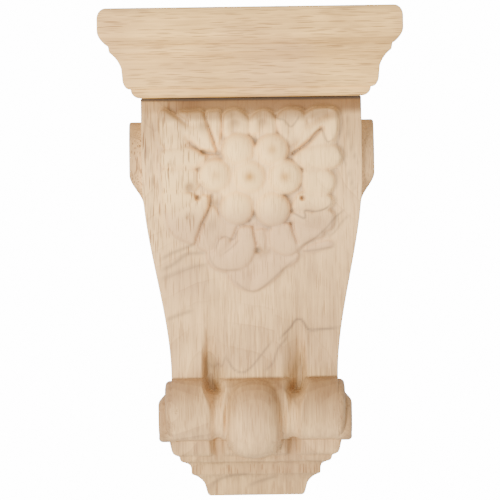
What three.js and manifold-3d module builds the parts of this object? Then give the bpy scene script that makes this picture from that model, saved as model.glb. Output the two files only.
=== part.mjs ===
// A carved wooden corbel: a scrolled bracket with a cluster of berries among leaves on its breast,
// two flutes that run down its waist into a curled foot, a stepped base, and a moulded cap on top.
// Millimetres, +Z up. The flat back lies in the plane y = 0, the front faces -Y, and the origin is
// the middle of the back, halfway up the whole corbel.

import * as THREE from "three";
import { mergeVertices } from "three/addons/utils/BufferGeometryUtils.js";
import Module from "manifold-3d";

// Driving dimensions of the cap, whose moulding runs round the front and both sides.
const capWidth = 152;
const capDepth = 104;
const jointGap = 0.3;
const noseHeight = 18.3;
const noseRadius = 6;
const noseUndercut = 3.8;
const filletHeight = 4.8;
const filletProjection = 5.6;
const filletSlope = 0.8;
const coveRadius = 7.2;
const coveStep = 1.4;
const throatHeight = 5;
const upperOvoloHeight = 4.8;
const upperOvoloProjection = 2.8;
const ovoloStep = 0.8;
const lowerOvoloHeight = 3.5;
const lowerOvoloProjection = 5.4;
const reveal = 0.6;

// Driving dimensions of the carved body's block.
const bodyHeight = 203.4;
const waistHalfWidth = 42.5;
const waistDepth = 43.5;
const shoulderDepth = 84.5;
const breastHeight = 172;
const neckDepth = 79;
const taperTop = 160;

// Driving dimensions of the curled foot: the roll across it and the ball that the tongue ends in.
const rollBottom = 29.7;
const rollHeight = 31.5;
const rollReach = 18;
const ballHalfWidth = 14.9;
const ballHeight = 41.4;
const ballReach = 24;

// Driving dimensions of the tongue and the two flutes that bound it.
const tongueRise = 2.4;
const fluteTop = 106;
const fluteOffset = 21.8;
const fluteHalfWidth = 4.6;
const fluteDepth = 8.5;
const grooveOffset = 18.9;
const grooveReach = 14;
const grooveHeight = 25;

// Driving dimensions of the stepped base, from the roll down.
const baseHalfWidth = 43.5;
const baseDepth = 45;
const blockTaper = 1.5;
const blockHeight = 7.3;
const blockStep = 3.4;
const beadHeight = 4.4;
const beadProjection = 2.2;
const beadStep = 3.4;
const bandHeight = 3.7;
const baseCoveStep = 1.2;
const baseCoveHeight = 7;
const baseCoveProjection = 5.5;
const footHeight = 6;
const footTaper = 2.1;
const ledgeDrop = 0.4;
const nicheDepth = 6.5;
const nicheHeight = 13;
const nicheArch = 2.8;

// Driving dimensions of the scrolls on both sides.
const upperScrollRadius = 19.5;
const upperScrollHeight = 171.6;
const upperScrollDepth = 60;
const upperScrollProjection = 6.6;
const upperScrollTail = 12;
const rollEndProjection = 3.4;
const lowerScrollRadius = 12.7;
const lowerScrollProjection = 3.4;
const lowerScrollTail = 9.5;
const voluteGrooveWidth = 2.2;
const voluteGrooveDepth = 1.5;
const voluteTurns = 1.4;

// Driving dimensions of the carved cluster and its leaves.
const carvingHeight = 163;
const berryPitch = 17.3;
const berryRadius = 8.3;
const berryRise = 3.2;
const leafRoot = 9;
const leafRise = 6.2;
const leafRim = 0.55;
const leafShoulder = 0.62;
const leafRootWidth = 0.5;
const carvingSunk = 3;

// Each leaf lobe: its direction in degrees from the right, its reach from the middle of the cluster,
// its half-width, and how deeply it is cupped along its vein.
const leafLobes = [
  [78, 34, 6.9, 0.35],
  [58.7, 39.6, 6.4, 0.4],
  [39, 53.5, 9.2, 0.4],
  [16.7, 45.2, 6.4, 0.1],
  [-4.3, 40.6, 7.2, 0.1],
  [-20, 41, 5.2, 0.1],
  [-36, 47.6, 8, 0.25],
  [-62, 47, 7, 0.2],
  [-69, 42.4, 6.6, 0.15],
  [-82, 38.4, 4, 0.1],
  [-92, 57, 12.5, 0.25],
  [-106, 48.8, 11, 0.1],
  [-122.5, 43.9, 7.5, 0.2],
  [-136.5, 43.5, 6.4, 0.2],
  [-156, 46.9, 6.6, 0.15],
  [-178.5, 44.2, 7, 0.1],
  [165.6, 44.4, 6.4, 0.1],
  [141.5, 54.2, 8.6, 0.4],
  [130, 44.5, 6.2, 0.3],
  [120, 38.5, 5.4, 0.4],
  [102, 33.8, 6.7, 0.35],
];

// How finely the surfaces are faceted.
const tongueColumns = 6;
const fluteColumns = 6;
const panelColumns = 2;
const panelRowStep = 7.5;
const fluteRowStep = 4.5;
const rollRows = 14;
const blockRowStep = 2.4;
const arcSteps = 5;
const discSides = 32;
const voluteSteps = 32;
const berryDetail = 2;
const lobeStations = 7;
const lobeArch = 6;

// What follows from the driving dimensions.
const capHeight =
  noseHeight + filletHeight + coveRadius + throatHeight + upperOvoloHeight + lowerOvoloHeight;
const throatInset = noseUndercut + (filletProjection - noseUndercut) + coveRadius - coveStep;
const capFootInset = throatInset + upperOvoloProjection + ovoloStep + lowerOvoloProjection;
const shoulderHalfWidth = capWidth / 2 - capFootInset - reveal;
const totalHeight = bodyHeight + jointGap + capHeight;
const rollMiddle = rollBottom + rollHeight / 2;
const rollTop = rollBottom + rollHeight;
const ballMiddle = rollTop - ballHeight / 2;

const clamp = (t) => Math.min(1, Math.max(0, t));
const smooth = (t) => clamp(t) ** 2 * (3 - 2 * clamp(t));
const mix = (a, b, t) => a + (b - a) * t;
const dome = (t) => Math.sqrt(Math.max(0, 1 - t * t));

// Points of a quarter ellipse from (inset, height) over a run and a rise. A hollow one leaves
// upright and ends level, and a round one leaves level and ends upright.
function quarter(inset, height, run, rise, hollow) {
  const points = [];
  for (let i = 0; i <= arcSteps; i++) {
    const angle = (Math.PI / 2) * (i / arcSteps);
    const across = hollow ? 1 - Math.cos(angle) : Math.sin(angle);
    const up = hollow ? Math.sin(angle) : 1 - Math.cos(angle);
    points.push([inset - run * across, height + rise * up]);
  }
  return points;
}

// A closed surface over rings of equally many points, given from the lowest ring to the highest,
// each running counter-clockwise as seen from above.
function loft(rings) {
  const around = rings[0].length;
  const positions = rings.flat(2);
  const indices = [];
  for (let row = 0; row + 1 < rings.length; row++) {
    for (let i = 0; i < around; i++) {
      const a = row * around + i;
      const b = row * around + ((i + 1) % around);
      indices.push(a, b, b + around, a, b + around, a + around);
    }
  }
  for (const [row, faces] of [[0, "down"], [rings.length - 1, "up"]]) {
    const middle = positions.length / 3;
    for (const axis of [0, 1, 2]) {
      positions.push(rings[row].reduce((sum, point) => sum + point[axis] / around, 0));
    }
    for (let i = 0; i < around; i++) {
      const a = row * around + i;
      const b = row * around + ((i + 1) % around);
      indices.push(...(faces === "up" ? [middle, a, b] : [middle, b, a]));
    }
  }
  const geometry = new THREE.BufferGeometry();
  geometry.setAttribute("position", new THREE.Float32BufferAttribute(positions, 3));
  geometry.setIndex(indices);
  return geometry;
}

// The cap's moulding from its foot to its flat top, as pairs of inset from the nose and height.
function capProfile() {
  const footTop = lowerOvoloHeight;
  const ovoloTop = footTop + upperOvoloHeight;
  const throatTop = ovoloTop + throatHeight;
  const coveTop = throatTop + coveRadius;
  const filletTop = coveTop + filletHeight;
  const top = filletTop + noseHeight;
  return [
    ...quarter(capFootInset, 0, lowerOvoloProjection, footTop, false),
    ...quarter(throatInset + upperOvoloProjection, footTop, upperOvoloProjection, upperOvoloHeight, false),
    ...quarter(throatInset, throatTop, coveRadius - coveStep, coveRadius, true),
    [filletProjection - filletSlope, filletTop],
    ...quarter(noseUndercut, filletTop + ledgeDrop, noseUndercut, noseRadius, false),
    ...quarter(noseRadius, top, noseRadius, -noseRadius, false).reverse(),
  ];
}

function capGeometry() {
  const rings = capProfile().map(([inset, height]) => {
    const half = capWidth / 2 - inset;
    const front = inset - capDepth;
    return [[-half, 0, height], [-half, front, height], [half, front, height], [half, 0, height]];
  });
  return loft(rings);
}

// The base's moulding from the floor of the corbel up to the roll, as pairs of inset and height.
function baseProfile() {
  const bandInset = blockTaper + blockStep + beadProjection + beadStep;
  const coveInset = bandInset + baseCoveStep;
  const footInset = coveInset + baseCoveProjection;
  const coveTop = footHeight + baseCoveHeight;
  const bandTop = coveTop + bandHeight;
  const beadTop = bandTop + beadHeight;
  const blockFoot = rollBottom - blockHeight;
  return [
    [footInset + footTaper, 0],
    [footInset + footTaper / 2, ledgeDrop],
    ...quarter(footInset, footHeight, baseCoveProjection, baseCoveHeight, true),
    [bandInset, coveTop + ledgeDrop],
    [bandInset, bandTop],
    ...quarter(bandInset - beadStep, bandTop + ledgeDrop, beadProjection, beadHeight - ledgeDrop, false),
    [blockTaper, Math.max(blockFoot, beadTop + ledgeDrop)],
    [0, rollBottom],
  ];
}

// The base's inset at a height, between the points of its profile.
function baseInset(z) {
  const profile = baseProfile();
  const after = profile.findIndex(([, height]) => height >= z);
  if (after <= 0) return profile[after < 0 ? profile.length - 1 : 0][0];
  const [lowInset, low] = profile[after - 1];
  const [highInset, high] = profile[after];
  return mix(lowInset, highInset, (z - low) / (high - low));
}

// The half-width of the body's flat sides at a height: the base, the waist, and the taper above it.
function halfWidth(z) {
  if (z <= rollBottom) return baseHalfWidth - baseInset(z);
  return mix(waistHalfWidth, shoulderHalfWidth, smooth((z - rollTop) / (taperTop - rollTop)));
}

// The plain front of the body at a height, as a distance from the back, with no carving on it.
function panelDepth(z) {
  if (z <= rollBottom) return baseDepth - baseInset(z);
  if (z <= breastHeight) {
    return mix(waistDepth, shoulderDepth, smooth((z - rollTop) / (breastHeight - rollTop)));
  }
  return mix(shoulderDepth, neckDepth, clamp((z - breastHeight) / (bodyHeight - breastHeight)) ** 2);
}

// The roll across the foot.
function rollDepth(z) {
  const t = (z - rollMiddle) / (rollHeight / 2);
  return Math.abs(t) < 1 ? waistDepth + rollReach * dome(t) : 0;
}

// The ball that the tongue ends in.
function ballDepth(x, z) {
  const t = Math.hypot(x / ballHalfWidth, (z - ballMiddle) / (ballHeight / 2));
  return t < 1 ? waistDepth + ballReach * dome(t) : 0;
}

// The inner and outer edges of the flutes at a height, kept within the front.
function fluteEdges(z) {
  const middle = mix(grooveOffset, fluteOffset, smooth((z - rollMiddle) / (rollHeight / 2)));
  const outer = Math.min(middle + fluteHalfWidth, 0.97 * halfWidth(z));
  return [Math.min(middle - fluteHalfWidth, 0.85 * outer), outer];
}

// The floor of a flute, across from -1 to 1: it sinks into the panel, drops into a pocket behind the
// roll, swells over the foot as a narrow roll of its own, and ends in an arched niche in the base.
function fluteFloor(across, z) {
  if (z < rollBottom + nicheArch * (0.5 - across ** 2)) return baseDepth - nicheDepth;
  const pocket = panelDepth(Math.max(z, rollTop)) - fluteDepth * smooth((fluteTop - z) / (fluteTop - rollTop));
  const t = (z - rollBottom) / (grooveHeight / 2) - 1;
  return Math.max(pocket, Math.abs(t) < 1 ? pocket + (grooveReach + fluteDepth) * dome(t) : 0);
}

// How far a place across a flute is on its way from the panel, 0, to the flute's floor, 1.
function fluteShare(across, z) {
  if (z < rollBottom - nicheHeight || z > fluteTop) return 0;
  const bank = mix(0.45, 1.1, smooth((z - rollMiddle) / rollHeight));
  return smooth((1 - Math.abs(across)) / bank);
}

// The width of a lobe at a share of its length, as a share of its full width.
function lobeWidth(share) {
  if (share < leafShoulder) return mix(leafRootWidth, 1, smooth(share / leafShoulder));
  return dome((share - leafShoulder) / (1 - leafShoulder));
}

// The height of a lobe over the panel: full along its rim and hollow along its vein.
function lobeRise(share, across, cup) {
  const rim = leafRim + (1 - leafRim) * dome(across);
  const vein = 1 - cup * smooth(1 - Math.abs(across) / 0.7) * smooth(share * 2);
  return leafRise * rim * vein;
}

// One leaf lobe, lofted from under the berries out to its round tip, with its foot sunk in the panel.
function lobeGeometry([degrees, reach, half, cup]) {
  const angle = THREE.MathUtils.degToRad(degrees);
  const rings = [];
  for (let i = 0; i <= lobeStations; i++) {
    const turn = (i / lobeStations) * THREE.MathUtils.degToRad(80);
    const share = Math.sin(turn);
    const along = mix(leafRoot, reach, share);
    const point = (across, rise) => {
      const aside = across * half * lobeWidth(share);
      const up = carvingHeight + along * Math.sin(angle) + aside * Math.cos(angle);
      return [along * Math.cos(angle) - aside * Math.sin(angle), -panelDepth(up) - rise, up];
    };
    const ring = [];
    for (let j = 0; j <= lobeArch; j++) {
      const across = Math.cos((Math.PI * j) / lobeArch);
      ring.push(point(across, lobeRise(share, across, cup)));
    }
    rings.push([...ring, point(-1, -carvingSunk), point(1, -carvingSunk)]);
  }
  return loft(rings);
}

// The berries: one in the middle of the cluster and six round it.
function berryGeometries() {
  return Array.from({ length: 7 }, (_, i) => {
    const angle = (Math.PI / 3) * i;
    const pitch = i === 6 ? 0 : berryPitch;
    const up = carvingHeight + pitch * Math.sin(angle);
    const berry = new THREE.IcosahedronGeometry(berryRadius, berryDetail);
    return berry.translate(pitch * Math.cos(angle), -panelDepth(up) - berryRise, up);
  });
}

// The whole front surface, as a distance from the back.
function frontDepth(x, z) {
  const [inner, outer] = fluteEdges(z);
  const across = (2 * Math.abs(x) - inner - outer) / (outer - inner);
  const tongue = tongueRise * dome(Math.min(1, Math.abs(x) / outer)) * smooth((fluteTop + 12 - z) / 30);
  const plain = panelDepth(z) + (z > rollBottom ? tongue : 0);
  const rolled = Math.max(plain, rollDepth(z));
  const fluted = mix(rolled, Math.min(rolled, fluteFloor(across, z)), fluteShare(across, z));
  return Math.max(fluted, ballDepth(x, z));
}

// The places across the front at a height where the block has its columns, which follow the flutes.
function columnsAt(z) {
  const [inner, outer] = fluteEdges(z);
  const right = [];
  const steps = (from, to, count) => {
    for (let i = 1; i <= count; i++) right.push(mix(from, to, i / count));
  };
  steps(0, inner, tongueColumns);
  steps(inner, outer, fluteColumns);
  steps(outer, halfWidth(z), panelColumns);
  return [...right.map((x) => -x).reverse(), 0, ...right];
}

// The heights at which the body is cut into rings, close together where its shape turns quickly.
function bodyRows() {
  const rows = baseProfile().map(([, height]) => height);
  const steps = (from, to, step) => {
    const count = Math.max(1, Math.round((to - from) / step));
    for (let i = 1; i <= count; i++) rows.push(mix(from, to, i / count));
  };
  const blockFoot = rows[rows.length - 2];
  steps(blockFoot, rollBottom, blockRowStep);
  for (let i = 1; i <= rollRows; i++) {
    rows.push(rollMiddle - (rollHeight / 2) * Math.cos((Math.PI * i) / rollRows));
  }
  steps(rollTop, fluteTop, fluteRowStep);
  steps(fluteTop, bodyHeight, panelRowStep);
  const closest = 0.05;
  return rows.sort((a, b) => a - b).filter((z, i, all) => i === 0 || z - all[i - 1] > closest);
}

function blockGeometry() {
  const rings = bodyRows().map((z) => {
    const half = halfWidth(z);
    const front = columnsAt(z).map((x) => [x, -frontDepth(x, z), z]);
    return [[-half, 0, z], ...front, [half, 0, z]];
  });
  return loft(rings);
}

const wasm = await Module();
wasm.setup();

// A closed geometry as a solid that can be joined and cut.
function solid(geometry) {
  const bare = geometry.index ? geometry.toNonIndexed() : geometry.clone();
  bare.deleteAttribute("normal");
  bare.deleteAttribute("uv");
  const merged = mergeVertices(bare, 1e-4);
  return new wasm.Manifold(new wasm.Mesh({
    numProp: 3,
    vertProperties: new Float32Array(merged.attributes.position.array),
    triVerts: new Uint32Array(merged.index.array),
  }));
}

function geometryOf(made) {
  const mesh = made.getMesh();
  const geometry = new THREE.BufferGeometry();
  geometry.setAttribute("position", new THREE.BufferAttribute(new Float32Array(mesh.vertProperties), 3));
  geometry.setIndex(new THREE.BufferAttribute(new Uint32Array(mesh.triVerts), 1));
  return geometry;
}

// An outline in distance from the back and height, as a slab across x between two planes.
function sideSlab(outline, from, to) {
  const shape = new THREE.Shape(outline.map(([depth, height]) => new THREE.Vector2(-depth, height)));
  const slab = new THREE.ExtrudeGeometry(shape, { depth: Math.abs(to - from), bevelEnabled: false });
  const axes = new THREE.Matrix4().makeBasis(
    new THREE.Vector3(0, 1, 0),
    new THREE.Vector3(0, 0, 1),
    new THREE.Vector3(1, 0, 0),
  );
  slab.applyMatrix4(axes);
  slab.translate(Math.min(from, to), 0, 0);
  return slab;
}

function ellipseOutline(depth, height, depthRadius, heightRadius) {
  return Array.from({ length: discSides }, (_, i) => {
    const angle = (2 * Math.PI * i) / discSides;
    return [depth + depthRadius * Math.cos(angle), height + heightRadius * Math.sin(angle)];
  });
}

// The outline of a spiral groove that winds from a scroll's rim in towards its eye. Winding is 1
// where the spiral starts upwards and -1 where it starts downwards.
function voluteOutline(depth, height, radius, winding) {
  const rim = radius - voluteGrooveWidth / 4;
  const eye = radius / 4;
  const edge = (offset) => Array.from({ length: voluteSteps + 1 }, (_, i) => {
    const share = i / voluteSteps;
    const angle = winding * (Math.PI / 2 + 2 * Math.PI * voluteTurns * share);
    const away = mix(rim, eye, share) + offset;
    return [depth - away * Math.cos(angle), height + away * Math.sin(angle)];
  });
  return [...edge(voluteGrooveWidth / 2), ...edge(-voluteGrooveWidth / 2).reverse()];
}

// A block that pares a scroll's face down to its foot over the length of its tail.
function tailCut(side, inner, outer, high, low, depth) {
  const beyond = outer + Math.abs(outer - inner);
  const end = low + (low - high);
  const outline = new THREE.Shape([
    new THREE.Vector2(side * outer, high),
    new THREE.Vector2(side * inner, low),
    new THREE.Vector2(side * inner, end),
    new THREE.Vector2(side * beyond, end),
    new THREE.Vector2(side * beyond, high),
  ]);
  const cut = new THREE.ExtrudeGeometry(outline, { depth, bevelEnabled: false });
  cut.rotateX(Math.PI / 2);
  return cut;
}

// One side's scrolls, standing out from the block and sunk a little into it.
function sideScrolls(side) {
  const sunk = 2;
  const waist = waistHalfWidth;
  const shoulder = halfWidth(upperScrollHeight);
  const upperFace = shoulder + upperScrollProjection;
  const rollFace = waist + rollEndProjection;
  const lowerFace = rollFace + lowerScrollProjection;
  const lowerMiddle = rollBottom + lowerScrollRadius;
  const upper = solid(sideSlab(
    ellipseOutline(upperScrollDepth, upperScrollHeight, upperScrollRadius, upperScrollRadius),
    side * (shoulder - sunk), side * upperFace))
    .subtract(solid(sideSlab(
      voluteOutline(upperScrollDepth, upperScrollHeight, upperScrollRadius, 1),
      side * (upperFace - voluteGrooveDepth), side * (upperFace + voluteGrooveDepth))))
    .subtract(solid(tailCut(side, shoulder, upperFace,
      upperScrollHeight - upperScrollRadius + upperScrollTail, upperScrollHeight - upperScrollRadius, shoulderDepth)));
  const roll = solid(sideSlab(
    ellipseOutline(waistDepth, rollMiddle, rollReach, rollHeight / 2),
    side * (waist - sunk), side * rollFace));
  const lower = solid(sideSlab(
    ellipseOutline(waistDepth, lowerMiddle, lowerScrollRadius, lowerScrollRadius),
    side * (waist - sunk), side * lowerFace))
    .subtract(solid(sideSlab(
      voluteOutline(waistDepth, lowerMiddle, lowerScrollRadius, -1),
      side * (lowerFace - voluteGrooveDepth), side * (lowerFace + voluteGrooveDepth))))
    .subtract(solid(tailCut(side, rollFace, lowerFace,
      lowerMiddle + lowerScrollRadius - lowerScrollTail, lowerMiddle + lowerScrollRadius, shoulderDepth)));
  return upper.add(roll).add(lower);
}

function bodyGeometry() {
  const carvings = [...leafLobes.map(lobeGeometry), ...berryGeometries()].map(solid);
  const pieces = [sideScrolls(1), sideScrolls(-1), ...carvings];
  return geometryOf(pieces.reduce((made, piece) => made.add(piece), solid(blockGeometry())));
}

const corbel = new THREE.Group();

const wood = (colour, roughness) => new THREE.MeshStandardMaterial({ color: colour, roughness, metalness: 0 });

const body = new THREE.Mesh(bodyGeometry(), wood(0xd9c1a2, 0.7));
body.name = "carved_body";
body.position.z = -totalHeight / 2;
corbel.add(body);

const cap = new THREE.Mesh(capGeometry(), wood(0xdec4a3, 0.65));
cap.name = "moulded_cap";
cap.position.z = bodyHeight + jointGap - totalHeight / 2;
corbel.add(cap);

export default corbel;
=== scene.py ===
"""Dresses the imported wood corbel: a finely carved body, a moulded cap, bare rubberwood and a studio.

Sizes are in millimetres until a mesh is made. Heights are from the corbel's foot, depths are from
its flat back, and x runs to the right as seen from the front.
"""

import logging
import math
from dataclasses import dataclass, field
from enum import Enum

import bpy
import numpy as np
from mathutils import Matrix, Vector

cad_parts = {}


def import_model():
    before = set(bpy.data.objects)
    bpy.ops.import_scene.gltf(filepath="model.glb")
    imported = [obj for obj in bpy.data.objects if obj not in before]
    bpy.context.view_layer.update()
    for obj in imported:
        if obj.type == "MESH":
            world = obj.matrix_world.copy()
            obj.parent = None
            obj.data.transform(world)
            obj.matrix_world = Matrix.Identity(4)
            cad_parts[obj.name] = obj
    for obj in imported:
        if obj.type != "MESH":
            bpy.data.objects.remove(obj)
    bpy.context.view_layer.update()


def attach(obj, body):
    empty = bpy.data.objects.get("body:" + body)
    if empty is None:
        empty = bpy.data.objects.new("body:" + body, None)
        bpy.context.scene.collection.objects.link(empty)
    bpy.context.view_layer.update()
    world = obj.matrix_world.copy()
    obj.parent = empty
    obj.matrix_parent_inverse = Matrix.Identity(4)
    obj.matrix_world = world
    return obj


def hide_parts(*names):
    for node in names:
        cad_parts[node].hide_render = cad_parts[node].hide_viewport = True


LOG = logging.getLogger("corbel")
MM = 0.001
Outline = tuple[tuple[float, float], ...]
Colour = tuple[float, float, float, float]
Socket = bpy.types.NodeSocket


class Side(Enum):
    """The corbel's two sides, as the sign of x."""

    LEFT = -1
    RIGHT = 1


class Grain(Enum):
    """Which way the wood's fibres run, as the turn that brings them upright."""

    UPRIGHT = (0.0, 0.0, 0.0)
    ACROSS = (0.0, math.radians(90), 0.0)


def smooth(share: np.ndarray) -> np.ndarray:
    """Eases a share from 0 to 1, held at its ends."""
    held = np.clip(share, 0, 1)
    return held * held * (3 - 2 * held)


def spot(value: np.ndarray, middle: float, reach: float) -> np.ndarray:
    """Gives 1 at the middle of a soft spot, fading out on both sides."""
    return np.exp(-(((value - middle) / reach) ** 2))


def dome(share: np.ndarray) -> np.ndarray:
    """Gives the height of a unit half-circle over a share of its radius."""
    return np.sqrt(np.maximum(0, 1 - share * share))


def mix(start: np.ndarray, end: np.ndarray, share: np.ndarray) -> np.ndarray:
    """Goes from start to end by a share."""
    return start + (end - start) * share


def soft_max(first: np.ndarray, second: np.ndarray, fillet: float) -> np.ndarray:
    """Takes the greater of two heights, with a fillet where they meet.

    Args:
        first: The first surface's heights.
        second: The second surface's heights.
        fillet: How far apart the two heights are where the fillet begins.

    Returns:
        The heights of the two surfaces joined.
    """
    meeting = np.maximum(fillet - np.abs(first - second), 0)
    return np.maximum(first, second) + meeting**2 / (4 * fillet)


def rounded_path(corners: Outline, radius: float, steps: int = 4, closed: bool = False) -> np.ndarray:
    """Rounds the corners of a path, as sanding does to an edge.

    Args:
        corners: The path's corners.
        radius: How far from each corner the rounding starts, at most half of the way to the next.
        steps: Pieces in each rounded corner.
        closed: Whether the path's end joins its start.

    Returns:
        The rounded path's points, one in each row.
    """
    points = np.array(corners, float)
    count = len(points)
    path = []
    for index, corner in enumerate(points):
        if not closed and index in (0, count - 1):
            path.append(corner)
            continue
        before, after = points[index - 1] - corner, points[(index + 1) % count] - corner
        reach_before = min(radius, 0.45 * np.linalg.norm(before))
        reach_after = min(radius, 0.45 * np.linalg.norm(after))
        start = corner + before / np.linalg.norm(before) * reach_before
        end = corner + after / np.linalg.norm(after) * reach_after
        for step in range(steps + 1):
            t = step / steps
            path.append((1 - t) ** 2 * start + 2 * t * (1 - t) * corner + t**2 * end)
    return np.array(path)


def flowing_outline(points: Outline, steps: int = 6) -> np.ndarray:
    """Draws a closed flowing curve through a few points.

    Args:
        points: The points that the curve goes through.
        steps: Pieces between one point and the next.

    Returns:
        The curve's points, one in each row.
    """
    known = np.array(points, float)
    before, after = np.roll(known, 1, 0), np.roll(known, -1, 0)
    beyond = np.roll(known, -2, 0)
    pieces = []
    for t in np.linspace(0, 1, steps, endpoint=False):
        pieces.append(
            0.5
            * (
                2 * known
                + (after - before) * t
                + (2 * before - 5 * known + 4 * after - beyond) * t**2
                + (3 * known - before - 3 * after + beyond) * t**3
            )
        )
    return np.stack(pieces, 1).reshape(-1, 2)


def nearest_on_path(x: np.ndarray, z: np.ndarray, path: np.ndarray) -> tuple[np.ndarray, np.ndarray]:
    """Measures how far points are from a path, and how far along it they are.

    Args:
        x: The points' places across.
        z: The points' heights.
        path: The path's points, one in each row.

    Returns:
        The distance to the path, and the share of the path's length at its nearest point.
    """
    pieces = np.linalg.norm(np.diff(path, axis=0), axis=1)
    total = pieces.sum()
    distance = np.full(x.shape, np.inf)
    along = np.zeros(x.shape)
    start_length = 0.0
    for start, end, length in zip(path[:-1], path[1:], pieces):
        run = (end - start) / max(length, 1e-9)
        t = np.clip((x - start[0]) * run[0] + (z - start[1]) * run[1], 0, length)
        away = np.hypot(x - start[0] - t * run[0], z - start[1] - t * run[1])
        closer = away < distance
        distance = np.where(closer, away, distance)
        along = np.where(closer, (start_length + t) / total, along)
        start_length += length
    return distance, along


def inside_outline(x: np.ndarray, z: np.ndarray, outline: np.ndarray) -> np.ndarray:
    """Tells which points lie inside a closed outline.

    Args:
        x: The points' places across.
        z: The points' heights.
        outline: The outline's points, one in each row.

    Returns:
        True for each point inside.
    """
    inside = np.zeros(x.shape, bool)
    for (ax, az), (bx, bz) in zip(outline, np.roll(outline, -1, 0)):
        if az == bz:
            continue
        crosses = (az > z) != (bz > z)
        inside ^= crosses & (x < (bx - ax) * (z - az) / (bz - az) + ax)
    return inside


def blurred(heights: np.ndarray, cells: float) -> np.ndarray:
    """Softens a grid of heights, as sandpaper does.

    Args:
        heights: The heights on an even grid.
        cells: How far the softening reaches, in cells.

    Returns:
        The softened heights.
    """
    reach = int(math.ceil(3 * cells))
    offsets = np.arange(-reach, reach + 1)
    weights = np.exp(-0.5 * (offsets / cells) ** 2)
    weights /= weights.sum()
    padded = np.pad(heights, reach, mode="edge")
    rows = sum(w * padded[i : i + heights.shape[0], :] for i, w in enumerate(weights))
    return sum(w * rows[:, i : i + heights.shape[1]] for i, w in enumerate(weights))


def new_object(name: str, vertices: np.ndarray, faces: list[tuple[int, ...]]) -> bpy.types.Object:
    """Makes a mesh object from vertices in millimetres above the corbel's foot.

    Args:
        name: The object's name.
        vertices: x, minus the depth, and the height of each vertex, in millimetres.
        faces: Each face's vertices, counter-clockwise as seen from outside.

    Returns:
        The object, whose origin is the frame's.
    """
    mesh = bpy.data.meshes.new(name)
    lift = np.array([0, 0, CorbelSizes().height / 2])
    mesh.from_pydata(((vertices - lift) * MM).tolist(), [], faces)
    mesh.update()
    made = bpy.data.objects.new(name, mesh)
    bpy.context.scene.collection.objects.link(made)
    return made


def loft_faces(rows: int, around: int) -> list[tuple[int, ...]]:
    """Lists the faces of a closed loft, whose last two vertices are the middles of its ends.

    Args:
        rows: How many rings it has, from the lowest to the highest.
        around: How many points each ring has, counter-clockwise as seen from above.

    Returns:
        The faces, each as its vertices.
    """
    faces = []
    for row in range(rows - 1):
        start = row * around
        for i in range(around):
            j = (i + 1) % around
            faces.append((start + i, start + j, start + around + j, start + around + i))
    foot, head = rows * around, rows * around + 1
    top = (rows - 1) * around
    for i in range(around):
        j = (i + 1) % around
        faces.append((foot, j, i))
        faces.append((head, top + i, top + j))
    return faces


def finish_mesh(piece: bpy.types.Object, crease_degrees: float) -> None:
    """Shades a piece smooth, with its true edges kept crisp.

    Args:
        piece: The piece.
        crease_degrees: The angle between two faces from which their edge stays crisp.
    """
    piece.data.polygons.foreach_set("use_smooth", [True] * len(piece.data.polygons))
    piece.data.set_sharp_from_angle(angle=math.radians(crease_degrees))
    piece.data.update()


@dataclass(frozen=True)
class CorbelSizes:
    """The driving sizes that the body and the cap share."""

    body_height: float = 201.9
    joint_gap: float = 0.3
    cap_width: float = 152.0
    cap_depth: float = 104.0
    cap_height: float = 45.1

    @property
    def height(self) -> float:
        """The whole corbel's height."""
        return self.body_height + self.joint_gap + self.cap_height


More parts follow.
